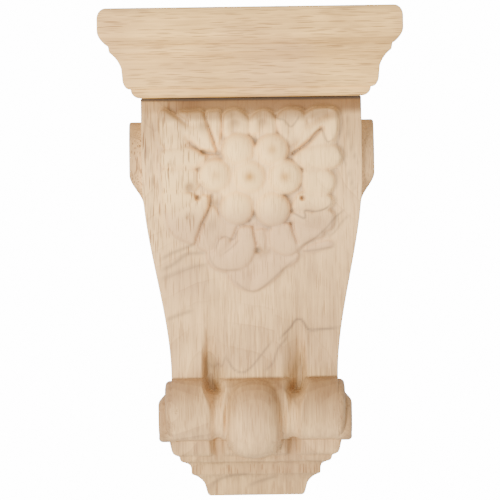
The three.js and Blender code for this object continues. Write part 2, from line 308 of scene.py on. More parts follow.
@dataclass(frozen=True)
class BodyForm:
    """The body's plain form without its carving: block, waist, flutes, curled foot and base."""

    height: float = CorbelSizes().body_height
    waist_half_width: float = 42.0
    shoulder_half_width: float = 55.0
    waist_depth: float = 43.5
    shoulder_depth: float = 84.5
    breast_height: float = 172.0
    neck_depth: float = 79.0
    taper_top: float = 164.0
    roll_bottom: float = 28.9
    roll_height: float = 31.5
    roll_reach: float = 18.0
    roll_reach_behind_ball: float = 13.0
    ball_across: float = -0.7
    ball_half_width: float = 15.5
    ball_height: float = 40.8
    ball_reach: float = 24.0
    ball_squareness: tuple[float, float] = (2.7, 2.3)
    ball_fillet: float = 2.6
    roll_fillet: float = 1.0
    tongue_rise: float = 2.4
    flute_top: float = 106.0
    flute_inner: float = 13.6
    flute_outer: float = 27.4
    flute_depth: float = 7.4
    flute_start: float = 1.6
    pocket_fillet: float = 4.5
    groove_inner: float = 14.3
    groove_outer: float = 23.8
    groove_reach: float = 14.0
    groove_height: float = 25.0
    base_half_width: float = 43.5
    base_depth: float = 45.0
    niche_depth: float = 4.8
    niche_height: float = 13.0
    niche_arch: float = 2.8
    arris: float = 0.7

    @property
    def roll_top(self) -> float:
        """The height of the crease where the roll meets the waist."""
        return self.roll_bottom + self.roll_height

    @property
    def roll_middle(self) -> float:
        """The height of the roll's axis."""
        return self.roll_bottom + self.roll_height / 2

    def half_width(self, z: np.ndarray) -> np.ndarray:
        """Gives the half-width of the sides above the base at a height."""
        share = smooth((z - self.roll_top) / (self.taper_top - self.roll_top))
        return mix(self.waist_half_width, self.shoulder_half_width, share)

    def panel_depth(self, z: np.ndarray) -> np.ndarray:
        """Gives the depth of the S-shaped panel at a height above the base."""
        rise = smooth((z - self.roll_top) / (self.breast_height - self.roll_top))
        lower = mix(self.waist_depth, self.shoulder_depth, rise)
        share = np.clip((z - self.breast_height) / (self.height - self.breast_height), 0, 1)
        upper = mix(self.shoulder_depth, self.neck_depth, share**2)
        return np.where(z <= self.breast_height, lower, upper)

    def flute_edges(self, z: np.ndarray) -> tuple[np.ndarray, np.ndarray]:
        """Gives how far the flutes' inner and outer edges are from the middle at a height."""
        share = smooth((z - self.roll_middle) / (self.roll_height / 2))
        inner = mix(self.groove_inner, self.flute_inner, share)
        return inner, mix(self.groove_outer, self.flute_outer, share)

    def across_flute(self, x: np.ndarray, z: np.ndarray) -> np.ndarray:
        """Gives the place across the nearer flute, from -1 at its inner edge to 1 at its outer."""
        inner, outer = self.flute_edges(z)
        return (2 * np.abs(x) - inner - outer) / (outer - inner)

    def flute_floor(self, across: np.ndarray, z: np.ndarray) -> np.ndarray:
        """Gives the depth of a flute's floor.

        Args:
            across: The place across the flute, from -1 to 1.
            z: The height.

        Returns:
            The floor's depth: sunk in the panel, a pocket behind the roll, a narrow roll, a niche.
        """
        down = smooth((self.flute_top - z) / (self.flute_top - self.roll_top))
        sink = self.flute_depth * down**self.flute_start
        pocket = self.panel_depth(np.maximum(z, self.roll_top)) - sink
        t = np.clip((z - self.roll_bottom) / (self.groove_height / 2) - 1, -1, 1)
        curl = pocket + (self.groove_reach + self.flute_depth) * dome(t)
        arch = self.roll_bottom + self.niche_arch * (0.5 - across**2)
        niche = np.full(np.shape(z * across), self.base_depth - self.niche_depth)
        return np.where(z < arch, niche, soft_max(pocket, curl, self.pocket_fillet))

    def flute_share(self, across: np.ndarray, z: np.ndarray) -> np.ndarray:
        """Gives how far a place is on its way from the panel, 0, to a flute's floor, 1."""
        groove_wall, pocket_wall, waist_wall, inner_wall = 0.85, 0.55, 1.2, 1.6
        over_roll = smooth((z - 46) / 12)
        over_pocket = smooth((z - 68) / 24)
        above = smooth((z - self.roll_middle) / self.roll_height)
        outside = mix(mix(groove_wall, pocket_wall, over_roll), waist_wall, over_pocket)
        inside = mix(groove_wall, inner_wall, above)
        share = smooth((1 - across) / outside) * smooth((1 + across) / inside)
        foot = smooth((z - self.roll_bottom + self.niche_height) / 0.6)
        return share * foot * (z <= self.flute_top)

    def front_depth(self, x: np.ndarray, z: np.ndarray, plain: np.ndarray) -> np.ndarray:
        """Gives the depth of the front with the flutes, roll, tongue and ball worked in it.

        Args:
            x: Places across.
            z: Heights.
            plain: The depth of the plain block there.

        Returns:
            The depth of the front.
        """
        inner, outer = self.flute_edges(z)
        across = self.across_flute(x, z)
        swell = smooth((self.flute_top + 12 - z) / 30) * smooth((z - self.roll_bottom) / 2)
        tongue = self.tongue_rise * dome(np.clip(np.abs(x) / outer, 0, 1)) * swell
        t = np.clip((z - self.roll_middle) / (self.roll_height / 2), -1, 1)
        behind_ball = smooth((inner + 4 - np.abs(x)) / 4)
        reach = mix(self.roll_reach, self.roll_reach_behind_ball, behind_ball)
        roll = self.waist_depth + reach * dome(t)
        rolled = soft_max(plain + tongue, np.where(np.abs(t) < 1, roll, 0), self.roll_fillet)
        floor = np.minimum(rolled, self.flute_floor(across, z))
        fluted = mix(rolled, floor, self.flute_share(across, z))
        ball_middle = self.roll_top - self.ball_height / 2
        wide = np.abs((x - self.ball_across) / self.ball_half_width) ** self.ball_squareness[0]
        tall = np.abs((z - ball_middle) / (self.ball_height / 2)) ** self.ball_squareness[1]
        away = np.sqrt(wide + tall)
        ball = np.where(away < 1, self.waist_depth + self.ball_reach * dome(np.minimum(away, 1)), 0)
        return soft_max(fluted, ball, self.ball_fillet)

    def base_profile(self) -> np.ndarray:
        """Draws the stepped base from the floor up, as pairs of inset and height, with soft edges."""
        block_taper, block_height, block_step = 1.5, 6.9, 3.4
        bead_height, bead_projection, bead_step = 4.6, 2.2, 3.7
        band_height, cove_step, cove_height, cove_projection = 5.0, 0.6, 5.2, 6.2
        foot_height, foot_taper, ledge, bead_ledge = 6.0, 2.7, 0.6, 1.5
        band_inset = block_taper + block_step + bead_projection + bead_step
        cove_inset = band_inset + cove_step
        foot_inset = cove_inset + cove_projection
        cove_top = foot_height + cove_height
        band_top = cove_top + band_height
        bead_top = band_top + bead_height
        turns = np.linspace(0, math.pi / 2, 7)
        cove = [
            (
                foot_inset - cove_projection * mix(1 - math.cos(a), a / turns[-1], 0.5),
                foot_height + cove_height * mix(math.sin(a), a / turns[-1], 0.5),
            )
            for a in turns
        ]
        bead = [
            (
                band_inset - bead_step - bead_projection * math.sin(a),
                band_top + bead_ledge + (bead_height - bead_ledge) * (1 - math.cos(a)),
            )
            for a in turns
        ]
        corners = [
            (foot_inset + foot_taper, 0.0),
            (foot_inset + foot_taper / 2, ledge),
            *cove,
            (band_inset, cove_top + ledge),
            (band_inset, band_top),
            *bead,
            (block_taper, max(self.roll_bottom - block_height, bead_top + ledge)),
            (0.0, self.roll_bottom),
        ]
        return rounded_path(tuple(corners), 2.0, steps=2)


@dataclass(frozen=True)
class LeafLobe:
    """One lobe of the leaves, drawn in millimetres from the middle of the berries."""

    outline: Outline
    rise: float = 5.6
    rim: float = 0.5
    swell: float = 4.2
    vein: Outline = ()
    cup: float = 0.0
    cup_width: float = 2.4

    def relief(self, x: np.ndarray, z: np.ndarray) -> np.ndarray:
        """Gives the lobe's height over the panel.

        Args:
            x: Places across, from the middle of the berries.
            z: Heights, from the middle of the berries.

        Returns:
            The lobe's height, 0 away from it.
        """
        grow, bank, sanded, vein_start = 0.6, 1.9, 0.86, 1.5
        outline = flowing_outline(self.outline)
        distance, _ = nearest_on_path(x, z, np.vstack([outline, outline[:1]]))
        inward = np.where(inside_outline(x, z, outline), distance, -distance) + grow
        edge = smooth((inward + bank * 0.6) / bank)
        pillow = dome(1 - np.clip(inward / self.swell, 0, 1))
        height = sanded * self.rise * edge * (self.rim + (1 - self.rim) * pillow)
        if self.vein:
            aside, _ = nearest_on_path(x, z, np.array(self.vein, float))
            hollow = self.cup * spot(aside, 0, self.cup_width)
            height = height - hollow * smooth(inward / vein_start)
        return height


@dataclass(frozen=True)
class ToolCut:
    """A cut made with a carver's tool, deepest at one of its ends or along all of it."""

    path: Outline
    width: float
    start_depth: float
    end_depth: float

    def depth(self, x: np.ndarray, z: np.ndarray) -> np.ndarray:
        """Gives how deep the cut is.

        Args:
            x: Places across, from the middle of the berries.
            z: Heights, from the middle of the berries.

        Returns:
            The cut's depth, 0 away from it.
        """
        away, along = nearest_on_path(x, z, np.array(self.path, float))
        depth = mix(self.start_depth, self.end_depth, along)
        return depth * np.exp(-((away / self.width) ** 2) * 1.6)


@dataclass(frozen=True)
class Pit:
    """A small round hole or dent."""

    x: float
    z: float
    radius: float
    depth: float

    def sunk(self, x: np.ndarray, z: np.ndarray) -> np.ndarray:
        """Gives how deep the pit is at each place."""
        away = np.hypot(x - self.x, z - self.z) / self.radius
        return self.depth * smooth((1.25 - away) / 0.6)


@dataclass(frozen=True)
class Berry:
    """One berry, as a round dome set among the leaves."""

    x: float
    z: float
    radius: float
    heart: float = 0.0
    rise: float = 3.6
    flatness: float = 0.76

    def relief(self, x: np.ndarray, z: np.ndarray) -> np.ndarray:
        """Gives the berry's height over the panel, far below it away from the berry."""
        away = np.hypot(x - self.x, z - self.z) / self.radius
        crown = self.flatness * self.radius * dome(np.minimum(away, 1))
        return np.where(away < 1, self.rise + crown, -5.0)


LEAF_BED: Outline = (
    (-41, 30), (-20, 30), (0, 30), (24, 31), (41, 30), (41, 12), (38, -8), (37, -26), (24, -33),
    (18, -38), (4, -48), (-8, -46), (-20, -42), (-26, -32), (-38, -26), (-40, -10), (-41, 10),
)

LEAF_LOBES: tuple[LeafLobe, ...] = (
    LeafLobe(
        ((-45.2, 32.3), (-41.4, 32.5), (-37.4, 30.7), (-31.4, 25.5), (-25.5, 19.5), (-20, 14),
         (-24.5, 13.6), (-30.5, 18), (-33.5, 15.7), (-38.5, 14.8), (-44, 15.4), (-45.5, 22.7)),
        rise=6.0, rim=0.6, vein=((-43, 28), (-37, 22), (-28, 17)), cup=0.9, cup_width=3.0,
    ),
    LeafLobe(
        ((-35.4, 31.9), (-30.4, 32.2), (-26.9, 32.4), (-23.9, 31.8), (-22.4, 27.5), (-20, 19.4),
         (-17.6, 12.6), (-21.6, 14), (-27.5, 20.5), (-32.4, 26.1), (-36.4, 29.6)),
        rise=6.4, rim=0.55,
    ),
    LeafLobe(
        ((-21.9, 31.5), (-18.9, 32.2), (-15.4, 31.7), (-14.9, 25.9), (-15.5, 19.8), (-17.1, 14.4),
         (-19.5, 20.4), (-21.4, 26.4)),
        rise=4.4, rim=0.7,
    ),
    LeafLobe(
        ((-13.7, 29.4), (-11.9, 31.9), (-8.4, 32.6), (-4.9, 31.8), (-2.4, 29.8), (-1.2, 26.2),
         (-1.5, 21.2), (-5.5, 18.7), (-11.5, 19.3), (-14.2, 22.3)),
        rise=5.8, vein=((-8, 33), (-8.4, 27), (-9, 20)), cup=1.5, cup_width=2.2,
    ),
    LeafLobe(
        ((0.1, 28.7), (2.6, 31.2), (6.1, 32.2), (9.6, 31.4), (11.6, 29.1), (12.3, 25.1),
         (11.5, 20), (5.5, 18.6), (0, 20.2), (-0.7, 25.2)),
        rise=5.8, vein=((6, 33), (5.6, 27), (5, 20)), cup=1.5, cup_width=2.2,
    ),
    LeafLobe(
        ((13.1, 28.6), (15.1, 31.6), (18.7, 33), (22.7, 32.8), (25.6, 31.5), (27.1, 28.4),
         (27.3, 24.9), (24.5, 19.9), (20.4, 15.4), (16.9, 17), (14, 21.5)),
        rise=6.0, vein=((19, 27), (20.3, 20), (19.9, 16)), cup=1.2, cup_width=2.6,
    ),
    LeafLobe(
        ((26.6, 26.4), (27.6, 30.4), (31.2, 32.7), (36.2, 33.1), (40.7, 32.6), (42.9, 30.8),
         (43.1, 26.7), (42.5, 21.7), (39.9, 16.7), (37, 19.3), (35.5, 23.8), (31, 19.3),
         (24.9, 14), (21.9, 13.9), (24, 19.4)),
        rise=6.6, rim=0.6, vein=((29, 26.5), (33, 29), (38, 30.6)), cup=2.6, cup_width=2.7,
    ),
    LeafLobe(
        ((35.5, 22.8), (38, 18.7), (39.9, 15.7), (35.4, 14.3), (29.9, 13.3), (25.9, 12.4), (30.4, 16.8)),
        rise=5.0, rim=0.6,
    ),
    LeafLobe(
        ((20.9, 9.4), (24.9, 12.9), (29.9, 14.3), (35.9, 15.5), (40.4, 14.7), (43.6, 12.2),
         (44.8, 8.7), (42.8, 5.2), (38.8, 3.5), (32.3, 3.1), (25.8, 3.4), (22.3, 5.9)),
        rise=6.8, rim=0.4, swell=5.5,
    ),
    LeafLobe(
        ((25.8, 2.6), (31.8, 2.8), (37.3, 2.3), (40, -0.3), (40.7, -3.8), (39.7, -7.2),
         (37.2, -9.4), (32.2, -9.9), (27.2, -9.1), (25.2, -5.1)),
        rise=6.2, rim=0.45, swell=5.0,
    ),
    LeafLobe(
        ((22.2, -10.5), (25.7, -8.6), (31.2, -9.6), (36.7, -9.9), (39.7, -12.2), (39.7, -15.2),
         (37.2, -17.2), (32.6, -17.9), (27.1, -17.1), (23.1, -18), (20.1, -16.5)),
        rise=6.2, rim=0.5,
    ),
    LeafLobe(
        ((19.6, -19), (25.6, -18), (30.6, -18.6), (36.7, -17.7), (39.9, -19.2), (40.4, -23.2),
         (38.6, -27.2), (34.1, -27.6), (29.6, -26.6), (25.1, -25.5), (20.1, -23)),
        rise=5.8, rim=0.5,
    ),
    LeafLobe(
        ((20.1, -24.5), (25.6, -26), (31.1, -27.1), (35.1, -27.6), (34.6, -30.7), (29.6, -32.1),
         (25.6, -34.6), (22.5, -37.1), (21, -33.5)),
        rise=5.2, rim=0.55,
    ),
    LeafLobe(
        ((25.5, -38.1), (30.1, -35.1), (35.1, -33.7), (39.1, -33.7), (39.6, -35.7), (35.1, -37.4),
         (29.6, -38.9)),
        rise=2.6, rim=0.5,
    ),
    LeafLobe(
        ((9, -26.9), (13, -24.9), (18.1, -24.5), (20.6, -28.5), (22, -33.5), (22, -37.6),
         (19, -39.8), (15.4, -40), (11.9, -38.7), (9.2, -35.9), (8.2, -31.4)),
        rise=6.4, rim=0.55, swell=5.0,
    ),
    LeafLobe(
        ((2, -27.8), (5, -26.8), (7.5, -28.3), (8.4, -33.4), (7.9, -37.4), (6.6, -38.9),
         (4.4, -37.4), (2.4, -35.3), (1.4, -31.8)),
        rise=5.4, rim=0.6, vein=((6.5, -26.8), (7, -32), (7.2, -38)), cup=1.2, cup_width=0.8,
    ),
    LeafLobe(
        ((7.9, -42.9), (9.9, -39.9), (15.4, -41), (20, -40.6), (22.5, -39.6), (22, -42.6),
         (19, -45.1), (14.4, -46.8), (9.8, -47)),
        rise=3.8, rim=0.5,
    ),
    LeafLobe(
        ((-12.4, -48.8), (-8.3, -46.8), (-2.3, -44.9), (2.8, -42.9), (8.9, -43), (14.4, -46.1),
         (13.4, -49.6), (8.8, -53.6), (3.2, -57.1), (-2.4, -57.8), (-7.5, -56.2), (-11, -52.9)),
        rise=3.8, rim=0.45, swell=5.0, vein=((-1.6, -57), (-0.8, -51), (0.8, -46)), cup=1.3,
    ),
    LeafLobe(
        ((-22.6, -38.6), (-22.4, -42.6), (-19.9, -45.7), (-15.4, -47.5), (-9.4, -47.6),
         (-4.3, -45.8), (-0.7, -41.8), (0.9, -36.8), (1.4, -31.8), (0.5, -26.3), (-6, -25.7),
         (-8.1, -28.2), (-10.2, -32.7), (-13.2, -30.9), (-16.7, -31.6), (-18.2, -34.6),
         (-19.8, -37.6)),
        rise=6.2, rim=0.5, swell=5.5, vein=((-14.5, -38.5), (-10.7, -34.7), (-8.6, -30.5)), cup=1.6,
    ),
    LeafLobe(
        ((-21.4, -15), (-18.9, -15.5), (-16.5, -19.6), (-12, -23.1), (-7, -24.7), (-8.1, -27.7),
         (-10.7, -31.7), (-13.6, -29.9), (-17.2, -30.6), (-19, -34.6), (-20.8, -37.6),
         (-24.3, -37), (-27.8, -34.5), (-27.7, -29.5), (-25.1, -24), (-22.5, -19)),
        rise=5.0, rim=0.6, swell=5.0,
    ),
    LeafLobe(
        ((-30.4, -12.9), (-25.9, -10), (-22.1, -10.5), (-22.5, -18), (-25.1, -23.5), (-27.7, -29),
         (-29.2, -33.6), (-33.3, -32.4), (-38.3, -29.8), (-41.7, -25.3), (-42.1, -19.3),
         (-38, -16.3), (-34, -14.9)),
        rise=6.2, rim=0.5, swell=6.0,
    ),
    LeafLobe(
        ((-44.1, -8.3), (-39.8, -6.8), (-34.8, -7.4), (-29.9, -8.9), (-27.4, -11.5),
         (-30.9, -14.4), (-34, -16.9), (-38, -18.3), (-42.1, -18.8)),
        rise=6.0, rim=0.5, swell=5.0,
    ),
    LeafLobe(
        ((-44.2, 3.2), (-39.7, 4.1), (-33.7, 4.3), (-27.7, 3), (-25.7, -1.5), (-27.8, -6),
         (-32.8, -6.9), (-38.8, -7.1), (-43.6, -6.3)),
        rise=6.2, rim=0.5, swell=5.0,
    ),
    LeafLobe(
        ((-43.5, 13.1), (-39.5, 14.4), (-33.5, 14.8), (-27.6, 13), (-22.6, 9.9), (-24.1, 6.4),
         (-27.7, 4.5), (-34.7, 4.6), (-40.6, 4.6), (-44.6, 5.7), (-45.3, 9.7)),
        rise=6.4, rim=0.45, swell=5.0,
    ),
)

BERRIES: tuple[Berry, ...] = (
    Berry(-6.6, 13.2, 8.3),
    Berry(10.0, 12.8, 8.3, heart=0.5),
    Berry(-18.2, 0.6, 8.2, heart=0.38),
    Berry(-1.3, -0.4, 8.4, heart=0.75),
    Berry(16.2, -0.6, 8.8, heart=0.6),
    Berry(-7.6, -15.7, 8.6),
    Berry(9.9, -16.7, 8.8),
)

TOOL_CUTS: tuple[ToolCut, ...] = (
    ToolCut(((35.3, 23.6), (29.4, 17.8), (24.4, 13.6), (20.6, 10.6)), 0.9, 2.6, 4.0),
    ToolCut(((-32.4, 19.8), (-29.5, 15.7), (-26.1, 13.1), (-22.4, 11.6), (-16.5, 11.4)), 1.2, 1.2, 3.0),
    ToolCut(((-23.6, 32), (-21.9, 26.4), (-19.5, 19.4), (-17.3, 12.4)), 0.8, 2.2, 3.0),
    ToolCut(((-14.6, 32), (-14.4, 26.4), (-15, 19)), 0.7, 1.6, 1.6),
    ToolCut(((-40, 33), (-34.9, 29.1), (-29, 25)), 1.7, 3.0, 1.4),
    ToolCut(((-20.2, -9.6), (-20.9, -15), (-22.8, -19), (-25.6, -24.5), (-28.5, -34)), 0.9, 4.5, 2.2),
    ToolCut(((19.1, -24), (20.5, -29), (22.5, -34)), 0.8, 2.6, 1.6),
    ToolCut(((0.2, -25.4), (0.9, -29.8), (1.9, -34.5)), 0.8, 2.0, 2.2),
    ToolCut(((-7.6, -25.5), (-9, -29.5), (-10.8, -32.5)), 0.8, 1.8, 1.8),
)

PITS: tuple[Pit, ...] = (
    Pit(25.0, -11.3, 1.25, 4.0),
    Pit(-27.1, -10.7, 1.3, 3.4),
    Pit(-30.8, -5.5, 1.9, 1.6),
    Pit(-32.1, -20.4, 0.9, 1.6),
    Pit(-1.5, -22.3, 1.2, 1.2),
    Pit(2.6, -37.6, 1.7, 2.2),
    Pit(-24.1, 11.9, 1.3, 2.5),
    Pit(1.9, 20.1, 1.3, 1.0),
    Pit(12.3, 30.0, 0.8, 1.5),
    Pit(20.0, -17.7, 1.3, 0.8),
)


@dataclass(frozen=True)
class ShadeAndGrainSpot:
    """A soft round patch of darker colour alone, for painted shade in the leaves' hollows and for the
    berries' ring hearts.
    """

    x: float
    z: float
    radius: float
    strength: float

    def shade(self, x: np.ndarray, z: np.ndarray) -> np.ndarray:
        """Gives how dark the spot is at each place."""
        return self.strength * spot(np.hypot(x - self.x, z - self.z), 0, self.radius)


# Mostly painted shade in the leaves' hollows, with a few darker patches of the wood itself on the lower
# leaves.
HOLLOW_SHADE_AND_STAINS: tuple[ShadeAndGrainSpot, ...] = (
    ShadeAndGrainSpot(-8.0, 27.0, 3.6, 0.62),
    ShadeAndGrainSpot(6.0, 27.4, 3.6, 0.6),
    ShadeAndGrainSpot(19.5, 29.0, 3.6, 0.5),
    ShadeAndGrainSpot(33.5, 29.0, 4.4, 0.5),
    ShadeAndGrainSpot(-24.5, 25.0, 3.4, 0.5),
    ShadeAndGrainSpot(-35.0, 26.5, 3.6, 0.4),
    ShadeAndGrainSpot(-30.8, -5.0, 3.0, 0.6),
    ShadeAndGrainSpot(-31.0, -20.0, 2.4, 0.4),
    ShadeAndGrainSpot(-18.5, -13.5, 2.8, 0.6),
    ShadeAndGrainSpot(-21.0, -24.0, 4.0, 0.35),
    ShadeAndGrainSpot(32.0, -22.5, 5.0, 0.3),
    ShadeAndGrainSpot(4.0, -38.5, 3.0, 0.4),
    ShadeAndGrainSpot(22.0, 16.5, 2.6, 0.35),
)


@dataclass(frozen=True)
class GrowthLine:
    """The edge of a growth ring that crosses the front as a thin dark line, colour alone."""

    path: Outline
    strength: float = 0.5
    width: float = 0.5

    def shade(self, x: np.ndarray, z: np.ndarray) -> np.ndarray:
        """Gives how dark the line is.

        Args:
            x: Places across, from the middle of the berries.
            z: Heights, from the middle of the berries.

        Returns:
            The line's strength, 0 away from it.
        """
        away, along = nearest_on_path(x, z, rounded_path(self.path, 2.2, steps=3))
        ends = smooth(along * 8) * smooth((1 - along) * 8)
        return self.strength * spot(away, 0, self.width) * mix(0.35, 1, ends)


GROWTH_LINES: tuple[GrowthLine, ...] = (
    GrowthLine(
        ((11.5, 30.2), (13.1, 28), (16.2, 28), (18.3, 24.9), (20.2, 23.8), (22.7, 27.3), (24.2, 30)), 0.6,
    ),
    GrowthLine(((27.9, 15.4), (31.7, 21.7), (35.4, 23.1), (36.6, 18.4), (38.1, 15.9), (40.3, 17.7)), 0.6),
    GrowthLine(
        ((19.3, -20.3), (20.2, -18.8), (26.1, -22.1), (26.4, -20.2), (25.5, -17.4), (31.7, -18.5),
         (36.6, -17), (39.1, -14.5)), 0.75,
    ),
    GrowthLine(
        ((-18.9, -37.6), (-17.7, -32.9), (-15.9, -30.8), (-13.5, -30.2), (-10.9, -31.8), (-9.4, -32.1),
         (-7.1, -26.2)), 0.55,
    ),
    GrowthLine(((-21.8, -38.7), (-21.2, -42.8), (-18.3, -46.4), (-12.4, -47.6), (-6.5, -46.9)), 0.4),
    GrowthLine(((-15, -39.3), (-11.2, -36.5), (-7, -32.4)), 0.4),
    GrowthLine(((-46.2, -41.9), (-41.4, -38.7), (-34.4, -36.2), (-29.1, -33.8)), 0.5, 1.0),
    GrowthLine(((-46, -47.2), (-40, -44.3), (-33.2, -38.8), (-23.8, -38.6)), 0.5, 1.1),
    GrowthLine(((-47, -52), (-36.9, -47.9), (-29.1, -45.1), (-22.6, -44.6)), 0.4, 1.2),
    GrowthLine(
        ((46.5, -17.1), (42.8, -20.1), (39.6, -23.1), (37.1, -26.3), (30.4, -32.4), (23.6, -36)), 0.5, 0.6,
    ),
    GrowthLine(((48.5, -20), (44.3, -24), (41.5, -28.5), (38.5, -31)), 0.4, 0.6),
    GrowthLine(((24.2, -38.5), (31.7, -37.8), (40.3, -36.2)), 0.45, 0.6),
    GrowthLine(((-10.5, -52.4), (-4, -57.6), (1.2, -59), (6.4, -55), (20.9, -42.3)), 0.4, 0.6),
    GrowthLine(((12.7, -83), (18.7, -77), (20.9, -73), (24.1, -73), (27.2, -79), (43.1, -77.6)), 0.8, 0.7),
    GrowthLine(((-14.5, -91), (-11, -98), (-6, -100.5), (-1, -96.6), (4.5, -89.6), (9, -84)), 0.6, 0.6),
    GrowthLine(((-23, -95), (-20.5, -98), (-18.5, -94.5), (-16.5, -97.5), (-14.5, -91)), 0.45, 0.5),
    GrowthLine(((5.4, -99), (9.4, -95.5), (11.9, -87.5), (15.3, -84), (17.3, -80.5)), 0.5, 0.7),
    GrowthLine(((-44, -72.6), (-37, -69.8), (-30.7, -67.9)), 0.5, 1.0),
    GrowthLine(((7, -101.5), (17, -110.3), (22.5, -117.5)), 0.3, 0.9),
    GrowthLine(((-23.3, -158.4), (-19.4, -154.6), (-11.8, -152.1), (-2.8, -151.5)), 0.5, 1.0),
    GrowthLine(((-4.2, -158.4), (0.8, -155.9), (9.7, -153.4)), 0.5, 1.0),
    GrowthLine(((-53.5, 34), (-52, 20), (-53, 8)), 0.5, 0.6),
    GrowthLine(((-50.5, 30), (-48.6, 16), (-50.5, 2), (-47.6, -14)), 0.4, 0.5),
    GrowthLine(((49.5, 34), (47.5, 24), (50, 12), (53.5, 4)), 0.45, 0.6),
    GrowthLine(((45, 24), (42.5, 14), (46.5, 6), (49.5, -4), (52, -9)), 0.4, 0.6),
    GrowthLine(((-52, 8), (-49.5, -6), (-50.5, -17), (-46, -27)), 0.3, 0.6),
)


@dataclass
class BreastCarving:
    """The berries among their leaves, as heights over the breast's panel."""

    middle_height: float = 163.0
    half_width: float = 50.0
    below: float = 62.0
    above: float = 38.0
    cell: float = 0.35
    softening: float = 0.42
    bed_rise: float = 2.6
    bunch_rise: float = 5.6
    bunch_radius: float = 21.0
    berry_valley: float = 2.0
    hollow_reach: float = 2.2
    heart_radius: float = 2.7
    crest_shade: float = 0.5
    relief: np.ndarray = field(init=False, repr=False)
    recess: np.ndarray = field(init=False, repr=False)
    deep: np.ndarray = field(init=False, repr=False)
    shade_and_stains: np.ndarray = field(init=False, repr=False)
    hearts: np.ndarray = field(init=False, repr=False)

    def __post_init__(self) -> None:
        """Carves the heights once, on an even grid."""
        across = np.arange(-self.half_width, self.half_width + self.cell, self.cell)
        up = np.arange(-self.below, self.above + self.cell, self.cell)
        x, z = np.meshgrid(across, up)
        height = LeafLobe(LEAF_BED, rise=self.bed_rise, rim=0.9).relief(x, z)
        for lobe in LEAF_LOBES:
            columns, rows = self._window(lobe.outline, across, up)
            there = height[rows, columns]
            height[rows, columns] = np.maximum(there, lobe.relief(x[rows, columns], z[rows, columns]))
        for cut in TOOL_CUTS:
            columns, rows = self._window(cut.path, across, up)
            height[rows, columns] -= cut.depth(x[rows, columns], z[rows, columns])
        bunch = self.bunch_rise * smooth((self.bunch_radius - np.hypot(x, 1.1 * (z + 1))) / 5)
        height = soft_max(height, bunch, 1.0)
        for berry in BERRIES:
            height = soft_max(height, berry.relief(x, z), self.berry_valley)
        for pit in PITS:
            height -= pit.sunk(x, z)
        height = np.maximum(height, -0.6)
        self.relief = blurred(height, self.softening / self.cell)
        # Painted shade: the recess and deep charts darken the carving where it lies lower than around it, the
        # deep one in the cuts.
        lower_than_around = blurred(self.relief, self.hollow_reach / self.cell) - self.relief
        self.recess = np.clip((lower_than_around - 0.45) / 2.2, 0, 1)
        self.deep = smooth((lower_than_around - 1.1) / 1.5)
        # Painted shade in the crest lobes' hollows and at the hollow spots; the berries' ring hearts below
        # are the wood's own.
        crest = self.crest_shade * smooth((z - 25.5) / 4) * smooth((self.relief - 1) / 2)
        self.shade_and_stains = np.maximum(sum(hollow_shade.shade(x, z) for hollow_shade in HOLLOW_SHADE_AND_STAINS), crest)
        hearts = [ShadeAndGrainSpot(b.x, b.z, self.heart_radius, b.heart) for b in BERRIES]
        self.hearts = sum(heart.shade(x, z) for heart in hearts)

    @staticmethod
    def _window(outline: Outline, across: np.ndarray, up: np.ndarray) -> tuple[slice, slice]:
        """Finds the part of the grid that an outline and its banks lie in.

        Args:
            outline: The outline's points.
            across: The grid's places across.
            up: The grid's heights.

        Returns:
            The columns and the rows of that part.
        """
        margin = 4.0
        points = np.array(outline, float)
        low, high = points.min(0) - margin, points.max(0) + margin
        columns = slice(*np.searchsorted(across, (low[0], high[0])))
        rows = slice(*np.searchsorted(up, (low[1], high[1])))
        return columns, rows

    def sample(self, chart: np.ndarray, x: np.ndarray, z: np.ndarray) -> np.ndarray:
        """Reads a chart between its cells.

        Args:
            chart: One of the carving's charts.
            x: Places across the corbel.
            z: Heights on the corbel.

        Returns:
            The chart's values, 0 outside it.
        """
        column = (x + self.half_width) / self.cell
        row = (z - self.middle_height + self.below) / self.cell
        rows, columns = chart.shape
        inside = (column >= 0) & (column < columns - 1) & (row >= 0) & (row < rows - 1)
        column, row = np.clip(column, 0, columns - 1.001), np.clip(row, 0, rows - 1.001)
        i, j = row.astype(int), column.astype(int)
        u, v = row - i, column - j
        low = mix(chart[i, j], chart[i, j + 1], v)
        high = mix(chart[i + 1, j], chart[i + 1, j + 1], v)
        return np.where(inside, mix(low, high, u), 0)


